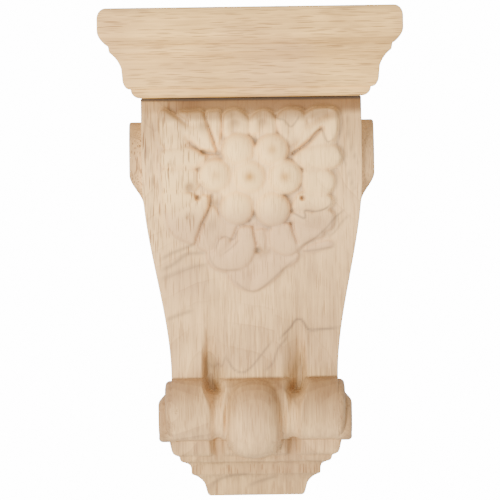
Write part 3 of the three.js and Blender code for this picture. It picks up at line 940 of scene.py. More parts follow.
@dataclass(frozen=True)
class ScrollBoss:
    """A round scroll that stands out of a side, with a spiral groove in its face."""

    side: Side
    name: str
    depth: float
    height: float
    radius: float
    inner: float
    foot: float
    face: float
    tail_from: float
    tail_to: float
    winding: int
    squash: tuple[float, float] = (1.0, 1.0)
    turns: float = 1.75
    groove_width: float = 1.15
    groove_depth: float = 1.7
    edge: float = 1.3
    edge_drop: float = 1.3

    def build(self) -> bpy.types.Object:
        """Makes the boss as a closed solid, sunk a little into the side."""
        around, rim_rings = 96, 8
        face_rings = 22 if self.turns else 6
        angles = np.linspace(0, 2 * math.pi, around, endpoint=False)
        reach = np.concatenate([np.linspace(0.04, 0.9, face_rings), np.linspace(0.925, 1, rim_rings)])
        rows = [self._ring(angles, 1.0, np.full(around, self.inner))]
        for share in reach[::-1]:
            rows.append(self._ring(angles, share, self._face(angles, share)))
        points = np.concatenate(rows)
        ends = [rows[0].mean(0), rows[-1].mean(0)]
        vertices = np.vstack([points, ends])
        faces = loft_faces(len(rows), around)
        if self.side is Side.LEFT:
            faces = [tuple(reversed(face)) for face in faces]
        return new_object(self.name, vertices, faces)

    def _ring(self, angles: np.ndarray, share: float, out: np.ndarray) -> np.ndarray:
        """Places one ring of the boss at a share of its radius."""
        wide, tall = self.squash
        depth = self.depth + self.radius * wide * share * np.cos(angles)
        height = self.height + self.radius * tall * share * np.sin(angles)
        return np.stack([self.side.value * out, -depth, height], 1)

    def _face(self, angles: np.ndarray, share: float) -> np.ndarray:
        """Gives how far the face stands from the corbel's middle round one ring."""
        rim_left = (1 - share) * self.radius
        drop = self.edge_drop * (1 - dome(1 - np.clip(rim_left / self.edge, 0, 1)))
        out = self.face - drop + 0 * angles
        if self.turns:
            out = out - self._groove(angles, share)
        up = self.height + self.radius * self.squash[1] * share * np.sin(angles)
        tail = smooth((up - self.tail_to) / (self.tail_from - self.tail_to))
        return mix(np.minimum(self.foot - 0.4, out), out, tail)

    def _groove(self, angles: np.ndarray, share: float) -> np.ndarray:
        """Gives how deep the spiral groove is round one ring."""
        rim, eye, button = 0.97 * self.radius, 0.27 * self.radius, 0.26 * self.radius
        sharpness = 1.5
        sunk = np.zeros_like(angles)
        start = self.winding * (angles - math.pi / 2) % (2 * math.pi)
        for turn in range(int(math.ceil(self.turns)) + 1):
            along = (start + 2 * math.pi * turn) / (2 * math.pi * self.turns)
            arm = mix(rim, eye, along)
            near = spot(share * self.radius, arm, self.groove_width) ** sharpness
            sunk = np.maximum(sunk, near * (along <= 1.0) * smooth(along * 12))
        ring = spot(share * self.radius, button, self.groove_width) ** sharpness
        return self.groove_depth * np.maximum(sunk, ring)


@dataclass(frozen=True)
class SurfacePoints:
    """The points of the body's surface, in millimetres, and how far each is turned forward and up."""

    x: np.ndarray
    depth: np.ndarray
    z: np.ndarray
    forward: np.ndarray
    upward: np.ndarray

    @classmethod
    def of(cls, block: bpy.types.Object) -> "SurfacePoints":
        """Reads the points of the finished body.

        Args:
            block: The body.

        Returns:
            Its points.
        """
        count = len(block.data.vertices)
        places, tilts = np.zeros(count * 3), np.zeros(count * 3)
        block.data.vertices.foreach_get("co", places)
        block.data.vertices.foreach_get("normal", tilts)
        places = places.reshape(-1, 3) / MM
        height = places[:, 2] + CorbelSizes().height / 2
        return cls(places[:, 0], -places[:, 1], height, -tilts[1::3], tilts[2::3])


@dataclass(frozen=True)
class Ramp:
    """A soft rise from 0 at its start to 1 a reach further on, or further back if it is negative."""

    start: float
    reach: float

    def at(self, value: np.ndarray) -> np.ndarray:
        """Gives the share risen at each value."""
        return smooth((value - self.start) / self.reach)


@dataclass(frozen=True)
class WoodMarks:
    """What colours the body over its grain: painted shade in hollows, creases, flutes and under the cap,
    browned wood that is partly painted shade, painted light on what stands proud, and pink wood.

    The ramps run over heights, places across or, for the flutes, places across the nearer flute.
    """

    form: BodyForm
    carving: BreastCarving
    points: SurfacePoints
    front_skin: float = 3.0
    back_strip: float = 12.0
    scroll_reach: float = 9.0
    facing_least: float = 0.3
    side_strip: float = 0.6
    ring_edge_depth: float = 20.0
    ring_bend: float = 0.16
    # Painted shade in the flutes' pockets and along their outer side, under the cap and in the deep cuts.
    pocket_shade_left: float = 0.42
    pocket_shade_right: float = 0.36
    pocket_shade_up: tuple[float, float] = (66.0, 8.0)
    pocket_shade_across: float = 0.4
    pocket_shade_spreads: tuple[float, float] = (1.1, 0.35)
    flute_wall_shade: float = 0.35
    wall_shade_across: tuple[float, float] = (0.3, 0.7)
    wall_shade_top: Ramp = Ramp(92, -30)
    wall_shade_foot: Ramp = Ramp(56, 8)
    under_cap_shade: float = 0.92
    under_cap: Ramp = Ramp(-1.7, 0.8)
    cut_shade: float = 0.36
    # Painted shade from the cap on the neck and the crest, with some real browning there; lighter on the
    # left, where the light falls.
    neck_brown_and_shade: float = 0.92
    neck_foot: Ramp = Ramp(190, 7)
    bare_panel: Ramp = Ramp(3, -3)
    crest_brown_and_shade: float = 0.34
    crest_foot: Ramp = Ramp(189.5, 5)
    left_share: float = 0.6
    left_side: Ramp = Ramp(-48, 18)
    # Painted shade in the flutes, on the roll's top and its right side, in the niches, on the sides, and
    # under the cap on the shoulders.
    channel_shade: float = 0.12
    channel_wall: Ramp = Ramp(1.2, -0.5)
    channel_top: Ramp = Ramp(108, -6)
    channel_foot: Ramp = Ramp(70, 10)
    roll_top_shade: float = 0.56
    roll_right_shade: float = 0.18
    roll_right: Ramp = Ramp(-20, 40)
    roll_foot: Ramp = Ramp(30, 26)
    roll_crease: Ramp = Ramp(0.6, -0.6)
    roll_skin: float = 1.0
    groove_paler: float = 0.55
    groove_wall: Ramp = Ramp(1.3, -0.6)
    niche_shade: float = 0.3
    niche_wall: Ramp = Ramp(1, -0.3)
    niche_foot: Ramp = Ramp(14, 2)
    niche_top: Ramp = Ramp(29.5, -1)
    side_shade: float = 0.52
    off_side: Ramp = Ramp(0.4, 0.5)
    shoulder_shade: float = 0.32
    shoulder_foot: Ramp = Ramp(166, 20)
    shoulder_inner: Ramp = Ramp(42, 6)
    # Painted shade on the foot under the roll and on its band, with some real browning of the wood.
    foot_brown_and_shade: float = 0.22
    foot_top: Ramp = Ramp(24, -5)
    band_brown_and_shade: float = 0.12
    band_foot: Ramp = Ramp(10.5, 1)
    band_top: Ramp = Ramp(16.5, -1)
    streak_brown: float = 0.06
    streaks_foot: Ramp = Ramp(112, 16)
    streaks_right: Ramp = Ramp(-18, -14)
    # Painted light: paler on what stands proud, and a painted highlight over the left flute's foot.
    pale_relief: float = 7.0
    lit_patch_strength: float = 0.8
    lit_patch_across: tuple[float, float] = (-33.0, 7.0)
    lit_patch_up: tuple[float, float] = (70.0, 8.0)
    rosy_shares: tuple[float, float] = (0.3, 0.9)
    rosy_relief: Ramp = Ramp(0, 2)
    rosy_top: Ramp = Ramp(156, -20)
    rosy_foot: Ramp = Ramp(62, 6)
    pores_plain: float = 0.5
    pores_where_pale: float = 0.35
    pores_streaked: float = 1.1
    along_fibres: Ramp = Ramp(0.9, -0.5)
    pores_band_foot: Ramp = Ramp(10, 1)
    pores_band_top: Ramp = Ramp(18, -1)
    figure_least: float = 0.2
    figure_foot: Ramp = Ramp(58, 8)
    figure_crest: float = 180.0
    figure_crest_share: float = 0.5
    carved_paler: float = 0.8
    carved_relief: Ramp = Ramp(0, 4)

    def store(self, block: bpy.types.Object) -> None:
        """Stores each mark on the body as an attribute that its finish reads.

        Args:
            block: The finished body.
        """
        at, form = self.points, self.form
        inside_sides = np.abs(at.x) < form.half_width(at.z) - self.side_strip
        facing = (at.forward > self.facing_least) & inside_sides
        rise = at.z - self.carving.middle_height
        ring_edges = np.maximum.reduce([line.shade(at.x, rise) for line in GROWTH_LINES])
        bent = (at.depth - form.panel_depth(np.maximum(at.z, form.roll_top))) * self.ring_bend
        marks = {
            "recess": self._charted(self.carving.recess),
            "painted_crevice_shade": self._painted_crevice_shade_mask(),
            "brown_and_shade": self._brown_and_shade(),
            "raised": self._pale(),
            "rosy": self._rosy(),
            "upright": self._pores(),
            "figured": self._figured(),
            "ring_edges": np.where(facing & (at.depth > self.ring_edge_depth), ring_edges, 0),
            "hearts": self._charted(self.carving.hearts),
            "shade_and_stains": self._charted(self.carving.shade_and_stains),
            "wood_depth": np.where(facing, bent, at.depth) * MM,
        }
        for name, values in marks.items():
            kept = block.data.attributes.new(name, "FLOAT", "POINT")
            kept.data.foreach_set("value", values.astype(np.float32))

    @property
    def _front(self) -> np.ndarray:
        """Which points are on the front."""
        return self.points.depth > self.form.panel_depth(self.points.z) - self.front_skin

    @property
    def _seen(self) -> np.ndarray:
        """Which points are away from the back."""
        within = np.abs(self.points.x) < self.form.half_width(self.points.z) + self.scroll_reach
        return (self.points.depth > self.back_strip) & within

    @property
    def _across(self) -> np.ndarray:
        """The place of each point across the nearer flute."""
        return self.form.across_flute(self.points.x, self.points.z)

    @property
    def _raised(self) -> np.ndarray:
        """How far the carving stands proud at each point."""
        return self.carving.sample(self.carving.relief, self.points.x, self.points.z)

    @property
    def _streaked(self) -> np.ndarray:
        """How much of the left stave's coarse pores each point has."""
        return self.streaks_foot.at(self.points.z) * self.streaks_right.at(self.points.x)

    def _charted(self, chart: np.ndarray) -> np.ndarray:
        """Reads one of the carving's charts on the front."""
        return np.where(self._front, self.carving.sample(chart, self.points.x, self.points.z), 0)

    def _painted_crevice_shade_mask(self) -> np.ndarray:
        """Gives the painted shade in the flutes' pockets and along their outer side, in the deep cuts, and
        under the cap.
        """
        z, across = self.points.z, self._across
        strength = np.where(self.points.x < 0, self.pocket_shade_left, self.pocket_shade_right)
        spread = np.where(across > 0.5, self.pocket_shade_spreads[1], self.pocket_shade_spreads[0])
        pocket_shade = spot(z, *self.pocket_shade_up) * spot(across, self.pocket_shade_across, spread)
        wall_shade = self.wall_shade_top.at(z) * self.wall_shade_foot.at(z) * spot(across, *self.wall_shade_across)
        wall_shade = self.flute_wall_shade * wall_shade
        under_cap = self.under_cap_shade * self.under_cap.at(z - self.form.height)
        cuts = self.cut_shade * self._charted(self.carving.deep)
        painted_crevice_shade = np.maximum.reduce([strength * np.maximum(pocket_shade, wall_shade), under_cap, cuts])
        return np.where(self._seen, painted_crevice_shade, 0)

    def _brown_and_shade(self) -> np.ndarray:
        """Gives how brown the wood is, mostly painted shade: under the cap on the neck and crest, with some
        real browning there; in the flutes, on the roll's top and right, in the niches, on the sides and the
        shoulders; on the foot and its band, with some real browning there; the left stave's streaks are the
        wood's own.
        """
        form, x, z = self.form, self.points.x, self.points.z
        inside_flute = np.abs(self._across)
        neck = self.neck_brown_and_shade * self.bare_panel.at(self._raised) * self.neck_foot.at(z)
        crest = self.crest_brown_and_shade * self.crest_foot.at(z)
        # The painted shade under the cap is lighter on the left, where the light falls.
        left_paler = mix(self.left_share, 1.0, self.left_side.at(x))
        channel = self.channel_wall.at(inside_flute) * self.channel_top.at(z) * self.channel_foot.at(z)
        turned = self.roll_foot.at(z) * self.roll_crease.at(z - form.roll_top)
        roll = (self.roll_top_shade + self.roll_right_shade * self.roll_right.at(x)) * turned
        roll = roll * (self.points.depth > form.waist_depth - self.roll_skin)
        roll = roll * (1 - self.groove_paler * self.groove_wall.at(inside_flute))
        niche = self.niche_wall.at(inside_flute) * self.niche_foot.at(z) * self.niche_top.at(z)
        sides = self.side_shade * self.off_side.at(np.abs(x) - form.half_width(z))
        shoulder = self.shoulder_shade * self.shoulder_foot.at(z) * self.shoulder_inner.at(np.abs(x))
        band = self.band_brown_and_shade * self.band_foot.at(z) * self.band_top.at(z)
        foot = self.foot_brown_and_shade * self.foot_top.at(z) + band
        browned_and_shaded = [
            left_paler * np.maximum(neck, crest), roll, self.niche_shade * niche,
            self.channel_shade * channel, sides, shoulder, foot,
        ]
        streaks = self.streak_brown * self._streaked * np.where(self._front, 1, 0)
        return np.where(self._seen, np.maximum.reduce(browned_and_shaded), 0) + streaks

    def _pale(self) -> np.ndarray:
        """Gives how much painted light pales the wood: on what stands proud, and a painted highlight over the
        left flute's foot.
        """
        lit_patch = spot(self.points.x, *self.lit_patch_across) * spot(self.points.z, *self.lit_patch_up)
        lit_patch = self.lit_patch_strength * lit_patch
        return np.where(self._front, np.clip(self._raised / self.pale_relief + lit_patch, 0, 1), 0)

    def _rosy(self) -> np.ndarray:
        """Gives how pink the wood is, from the waist up to the lower leaves."""
        share = self.rosy_top.at(self.points.z) * self.rosy_foot.at(self.points.z)
        rosy = share * mix(*self.rosy_shares, self.rosy_relief.at(self._raised))
        return np.where(self._front, rosy, 0)

    def _pores(self) -> np.ndarray:
        """Gives how strongly the pores show: least where a surface cuts across the fibres."""
        unstreaked = mix(self.pores_plain, self.pores_where_pale, self._pale())
        shown = mix(unstreaked, self.pores_streaked, self._streaked)
        shown = self.along_fibres.at(np.abs(self.points.upward)) * shown
        in_band = self.pores_band_foot.at(self.points.z) * self.pores_band_top.at(self.points.z)
        return shown * (1 + in_band)

    def _figured(self) -> np.ndarray:
        """Gives how clearly the growth rings show: least on the carving and the foot."""
        z = self.points.z
        over_foot = self.figure_foot.at(z) * np.where(z > self.figure_crest, self.figure_crest_share, 1)
        uncarved = 1 - self.carved_paler * self.carved_relief.at(self._raised)
        return mix(self.figure_least, 1, over_foot * uncarved)


@dataclass
class CarvedBody:
    """The carved body: the plain form, the breast's carving and the scrolls, as one closed mesh."""

    name: str = "carved_corbel_body"
    form: BodyForm = field(default_factory=BodyForm)
    carving: BreastCarving = field(default_factory=BreastCarving)
    front_columns: int = 170
    edge_columns: int = 5
    side_columns: int = 8
    back_columns: int = 2
    fine_share: float = 0.86
    crease_degrees: float = 38.0

    def build(self) -> bpy.types.Object:
        """Makes the body's mesh.

        Returns:
            The finished piece.
        """
        block = self._block()
        for boss in self._bosses():
            self._combine(block, boss.build(), "UNION")
        for side in Side:
            self._combine(block, self._side_line(side), "DIFFERENCE")
        finish_mesh(block, self.crease_degrees)
        WoodMarks(self.form, self.carving, SurfacePoints.of(block)).store(block)
        LOG.info("%s: %d faces", self.name, len(block.data.polygons))
        return block

    def _front_shares(self) -> np.ndarray:
        """Spreads the columns across the front, close together where it is carved."""
        fine = np.linspace(-self.fine_share, self.fine_share, self.front_columns)
        edge = np.linspace(self.fine_share, 1, self.edge_columns + 1)[1:]
        return np.concatenate([-edge[::-1], fine, edge])

    def _rows(self) -> tuple[np.ndarray, np.ndarray]:
        """Lists the inset and the height of every ring, from the foot to the neck."""
        form = self.form
        base = form.base_profile()
        carved_from, carved_to = 104, 196.5
        turn = np.linspace(0, math.pi, 54)[1:]
        roll = form.roll_middle - form.roll_height / 2 * np.cos(turn)
        waist = np.linspace(form.roll_top, carved_from, 44)[1:]
        carved = np.linspace(carved_from, carved_to, 176)[1:]
        neck = np.linspace(carved_to, form.height, 7)[1:]
        heights = np.concatenate([roll, waist, carved, neck])
        insets = np.concatenate([base[:, 0], np.zeros(len(heights))])
        return insets, np.concatenate([base[:, 1], heights])

    def _ring(self, inset: float, z: float, shares: np.ndarray) -> np.ndarray:
        """Places one ring of the block, counter-clockwise as seen from above.

        Args:
            inset: How far the base's moulding is set in there.
            z: The ring's height.
            shares: The front columns' places, as shares of the half-width.

        Returns:
            The ring's points, one in each row.
        """
        form = self.form
        if z <= form.roll_bottom:
            half, plain = form.base_half_width - inset, form.base_depth - inset
        else:
            half, plain = float(form.half_width(np.float64(z))), float(form.panel_depth(np.float64(z)))
        arris = form.arris
        x = shares * (half - arris)
        depth = form.front_depth(x, np.full_like(x, z), np.full_like(x, plain))
        depth = depth + self.carving.sample(self.carving.relief, x, np.full_like(x, z))
        corner = depth[-1]
        turn = np.linspace(0, math.pi / 2, 5)[:-1]
        out = np.stack([half - arris * (1 - np.cos(turn)), corner - arris * (1 - np.sin(turn))], 1)
        side = np.linspace(0, corner - arris, self.side_columns + 1)[:-1]
        right = np.vstack([np.stack([np.full_like(side, half), side], 1), out])
        left = right * (-1, 1)
        back = np.linspace(half, -half, self.back_columns + 2)[1:-1]
        front = np.stack([x, depth], 1)
        ring = np.vstack([left, front, right[::-1], np.stack([back, np.zeros_like(back)], 1)])
        return np.stack([ring[:, 0], -ring[:, 1], np.full(len(ring), z)], 1)

    def _block(self) -> bpy.types.Object:
        """Makes the closed block with its carved front."""
        shares = self._front_shares()
        insets, heights = self._rows()
        rings = [self._ring(inset, z, shares) for inset, z in zip(insets, heights)]
        ends = [rings[0].mean(0), rings[-1].mean(0)]
        vertices = np.vstack([*rings, *[end[None] for end in ends]])
        return new_object(self.name, vertices, loft_faces(len(rings), len(rings[0])))

    def _bosses(self) -> list[ScrollBoss]:
        """Lists the scrolls and roll ends of both sides."""
        form = self.form
        shoulder = form.shoulder_half_width
        lower = form.roll_bottom + 12.2
        bosses = []
        for side in Side:
            tag = side.name.lower()
            bosses.append(ScrollBoss(
                side, f"upper_scroll_{tag}", depth=60, height=169.6, radius=20.6,
                inner=shoulder - 3, foot=shoulder, face=shoulder + 6.2,
                tail_from=164.0, tail_to=149.0, winding=1,
            ))
            bosses.append(ScrollBoss(
                side, f"roll_end_{tag}", depth=form.waist_depth, height=form.roll_middle, radius=1,
                inner=form.waist_half_width - 3, foot=form.waist_half_width,
                face=form.waist_half_width + 3.4, tail_from=-2, tail_to=-3, winding=1,
                squash=(form.roll_reach, form.roll_height / 2 - 0.9), turns=0, edge=0.2, edge_drop=3.2,
            ))
            bosses.append(ScrollBoss(
                side, f"lower_scroll_{tag}", depth=form.waist_depth, height=lower, radius=12.7,
                inner=form.waist_half_width - 2, foot=form.waist_half_width + 3.4,
                face=form.waist_half_width + 6.8, tail_from=lower + 6.4, tail_to=lower + 13.2,
                winding=-1, turns=1.5, groove_width=0.95, groove_depth=1.4, edge=2.2, edge_drop=2.2,
            ))
        return bosses

    def _side_line(self, side: Side) -> bpy.types.Object:
        """Makes the round tool's path for the line cut along a side, from scroll to scroll.

        Args:
            side: Which side it runs on.

        Returns:
            A tube along the line, to be cut out of the block.
        """
        set_in, radius, sunk = 6.5, 1.5, 0.6
        form = self.form
        z = np.linspace(64, 151, 60)
        x = side.value * (form.half_width(z) + radius - sunk)
        depth = form.panel_depth(z) - set_in
        forward, upward = np.gradient(depth), np.gradient(z)
        length = np.hypot(forward, upward)
        rings = []
        for angle in np.linspace(0, 2 * math.pi, 12, endpoint=False):
            aside, ahead = radius * math.cos(angle), radius * math.sin(angle)
            ring_depth = depth - ahead * upward / length
            rings.append(np.stack([x + aside, -ring_depth, z + ahead * forward / length], 1))
        rows = np.stack(rings, 1)
        ends = [rows[0].mean(0), rows[-1].mean(0)]
        vertices = np.vstack([rows.reshape(-1, 3), ends])
        return new_object(f"side_line_{side.name.lower()}", vertices, loft_faces(len(z), len(rings)))

    @staticmethod
    def _combine(block: bpy.types.Object, tool: bpy.types.Object, operation: str) -> None:
        """Joins a solid to the block or cuts it out, and removes the tool.

        Args:
            block: The block, whose mesh is replaced.
            tool: The solid.
            operation: UNION or DIFFERENCE.
        """
        modifier = block.modifiers.new(operation.lower(), "BOOLEAN")
        modifier.operation = operation
        modifier.solver = "MANIFOLD"
        modifier.object = tool
        ready = block.evaluated_get(bpy.context.evaluated_depsgraph_get())
        mesh = bpy.data.meshes.new_from_object(ready)
        block.modifiers.remove(modifier)
        used = block.data
        block.data = mesh
        bpy.data.meshes.remove(used)
        bpy.data.objects.remove(tool)


@dataclass(frozen=True)
class CapMoulding:
    """The moulded cap, whose profile runs round the front and both sides."""

    name: str = "moulded_cap_block"
    width: float = CorbelSizes().cap_width
    depth: float = CorbelSizes().cap_depth
    corner: float = 0.8
    nose_height: float = 18.9
    nose_round: tuple[float, float] = (4.4, 5.4)
    nose_drop: float = 7.2
    nose_undercut: float = 4.4
    fillet_height: float = 3.2
    fillet_projection: float = 5.3
    fillet_slope: float = 0.6
    cove_height: float = 8.2
    cove_projection: float = 5.8
    throat_height: float = 4.3
    throat_slope: float = 0.4
    upper_ovolo_height: float = 6.0
    upper_ovolo_projection: float = 3.6
    ovolo_step: float = 0.5
    lower_ovolo_height: float = 4.5
    lower_ovolo_projection: float = 4.6
    ledge: float = 0.4
    soft_edge: float = 0.4
    crease_degrees: float = 32.0

    def build(self, material: bpy.types.Material) -> bpy.types.Object:
        """Makes the cap from its profile with a geometry node tree.

        Args:
            material: The cap's finish, which the tree sets.

        Returns:
            The finished piece.
        """
        piece = self._profile_object()
        tree = self._tree()
        modifier = piece.modifiers.new("moulding", "NODES")
        modifier.node_group = tree
        chosen = {
            "Width": self.width * MM,
            "Depth": self.depth * MM,
            "Corner radius": self.corner * MM,
            "Finish": material,
        }
        for item in tree.interface.items_tree:
            if item.in_out == "INPUT" and item.name in chosen:
                modifier[item.identifier] = chosen[item.name]
        ready = piece.evaluated_get(bpy.context.evaluated_depsgraph_get())
        mesh = bpy.data.meshes.new_from_object(ready)
        piece.modifiers.remove(modifier)
        used = piece.data
        piece.data = mesh
        bpy.data.meshes.remove(used)
        finish_mesh(piece, self.crease_degrees)
        LOG.info("%s: %d faces", self.name, len(piece.data.polygons))
        return piece

    def _profile(self) -> np.ndarray:
        """Draws the profile from the foot up, as pairs of inset and height, with soft edges."""
        cove_foot = self.fillet_projection + self.fillet_slope + self.cove_projection
        throat = cove_foot + self.throat_slope
        foot = throat + self.upper_ovolo_projection + self.ovolo_step + self.lower_ovolo_projection
        lower_top = self.lower_ovolo_height
        upper_top = lower_top + self.upper_ovolo_height
        throat_top = upper_top + self.throat_height
        cove_top = throat_top + self.cove_height
        fillet_top = cove_top + self.fillet_height
        top = fillet_top + self.nose_height
        turns = np.linspace(0, math.pi / 2, 10)
        lower = [
            (foot - self.lower_ovolo_projection * math.sin(a), lower_top * (1 - math.cos(a)))
            for a in turns
        ]
        upper = [
            (
                throat + self.upper_ovolo_projection * (1 - math.sin(a)),
                lower_top + self.upper_ovolo_height * (1 - math.cos(a)),
            )
            for a in turns
        ]
        cove = [
            (
                cove_foot - self.cove_projection * (0.48 * t * (1 - t) + t * t),
                throat_top + self.cove_height * (1.2 * t * (1 - t) + t * t),
            )
            for t in np.linspace(0, 1, 10)
        ]
        under_nose = [
            (self.nose_undercut * (1 - t) ** 1.9, fillet_top + self.ledge + self.nose_drop * t)
            for t in np.linspace(0, 1, 10)
        ]
        wide, tall = self.nose_round
        over_nose = [
            (wide * (1 - math.cos(a)), top - tall * (1 - math.sin(a)))
            for a in turns
        ]
        corners = [
            *lower,
            *upper,
            *cove,
            (self.fillet_projection, fillet_top),
            *under_nose,
            *over_nose,
        ]
        return rounded_path(tuple(corners), self.soft_edge, steps=2)

    def _profile_object(self) -> bpy.types.Object:
        """Makes the profile as a line of vertices, closed in towards the cap's middle at both ends.

        Returns:
            An object whose vertices hold the inset, the share closed in, and the height.
        """
        profile = self._profile()
        foot = CorbelSizes().body_height + CorbelSizes().joint_gap - CorbelSizes().height / 2
        rows = [(inset * MM, 0.0, (height + foot) * MM) for inset, height in profile]
        rows = [(rows[0][0], 1.0, rows[0][2]), *rows, (rows[-1][0], 1.0, rows[-1][2])]
        mesh = bpy.data.meshes.new(self.name)
        mesh.from_pydata(rows, [(i, i + 1) for i in range(len(rows) - 1)], [])
        piece = bpy.data.objects.new(self.name, mesh)
        bpy.context.scene.collection.objects.link(piece)
        return piece

    @staticmethod
    def _tree() -> bpy.types.GeometryNodeTree:
        """Builds the tree that carries a profile round a block's front and sides.

        Returns:
            The tree, with inputs for the block's width, depth, corner radius and finish.
        """
        tree = bpy.data.node_groups.new("moulding_round_a_block", "GeometryNodeTree")
        face = tree.interface
        face.new_socket("Geometry", in_out="INPUT", socket_type="NodeSocketGeometry")
        for name in ("Width", "Depth", "Corner radius"):
            face.new_socket(name, in_out="INPUT", socket_type="NodeSocketFloat")
        face.new_socket("Finish", in_out="INPUT", socket_type="NodeSocketMaterial")
        face.new_socket("Geometry", in_out="OUTPUT", socket_type="NodeSocketGeometry")
        sheet = NodeSheet(tree)
        given = sheet.add("NodeGroupInput")
        width, depth, radius = (given.outputs[n] for n in ("Width", "Depth", "Corner radius"))
        plan = sheet.add("GeometryNodeCurvePrimitiveQuadrilateral")
        sheet.link(width, plan.inputs["Width"])
        sheet.link(depth, plan.inputs["Height"])
        place = sheet.add("GeometryNodeInputPosition").outputs[0]
        at_front = sheet.math("LESS_THAN", sheet.split(place)[1], 0.0)
        soft = sheet.add("GeometryNodeFilletCurve")
        if hasattr(soft, "mode"):
            soft.mode = "POLY"
        sheet.link(plan.outputs[0], soft.inputs["Curve"])
        if "Count" in soft.inputs:
            soft.inputs["Count"].default_value = 5
        sheet.link(sheet.math("MULTIPLY", radius, at_front), soft.inputs["Radius"])
        track = sheet.add("GeometryNodeCurveToPoints")
        track.mode = "EVALUATED"
        sheet.link(soft.outputs[0], track.inputs["Curve"])
        stops = sheet.domain_size(track.outputs["Points"], "POINTCLOUD")
        levels = sheet.domain_size(given.outputs["Geometry"], "MESH")
        grid = sheet.add("GeometryNodeMeshGrid")
        sheet.link(sheet.math("ADD", stops, 1.0), grid.inputs["Vertices X"])
        sheet.link(levels, grid.inputs["Vertices Y"])
        index = sheet.add("GeometryNodeInputIndex").outputs[0]
        stop = sheet.math("FLOOR", sheet.math("DIVIDE", sheet.math("ADD", index, 0.5), levels))
        level = sheet.math("SUBTRACT", index, sheet.math("MULTIPLY", stop, levels))
        wrapped = sheet.math("FLOORED_MODULO", stop, stops)
        on_plan = sheet.sample(track.outputs["Points"], wrapped)
        on_profile = sheet.sample(given.outputs["Geometry"], level)
        plan_x, plan_y, _ = sheet.split(on_plan)
        inset, closed, height = sheet.split(on_profile)
        open_share = sheet.math("SUBTRACT", 1.0, closed)
        half_width = sheet.math("MULTIPLY", width, 0.5)
        across = sheet.math("DIVIDE", plan_x, half_width)
        out_x = sheet.math("MULTIPLY", across, sheet.math("SUBTRACT", half_width, inset))
        back_share = sheet.math("SUBTRACT", 0.5, sheet.math("DIVIDE", plan_y, depth))
        out_y = sheet.math("MULTIPLY", back_share, sheet.math("SUBTRACT", depth, inset))
        x = sheet.math("MULTIPLY", out_x, open_share)
        middle = sheet.math("MULTIPLY", sheet.math("MULTIPLY", depth, 0.5), closed)
        y_in = sheet.math("ADD", sheet.math("MULTIPLY", out_y, open_share), middle)
        shaped = sheet.add("GeometryNodeSetPosition")
        sheet.link(grid.outputs["Mesh"], shaped.inputs["Geometry"])
        sheet.link(sheet.join(x, sheet.math("MULTIPLY", y_in, -1.0), height), shaped.inputs["Position"])
        merged = sheet.add("GeometryNodeMergeByDistance")
        merged.inputs["Distance"].default_value = 1e-6
        sheet.link(shaped.outputs[0], merged.inputs["Geometry"])
        real = sheet.add("GeometryNodeRealizeInstances")
        sheet.link(merged.outputs[0], real.inputs["Geometry"])
        dressed = sheet.add("GeometryNodeSetMaterial")
        sheet.link(real.outputs[0], dressed.inputs["Geometry"])
        sheet.link(given.outputs["Finish"], dressed.inputs["Material"])
        done = sheet.add("NodeGroupOutput")
        sheet.link(dressed.outputs[0], done.inputs["Geometry"])
        return tree


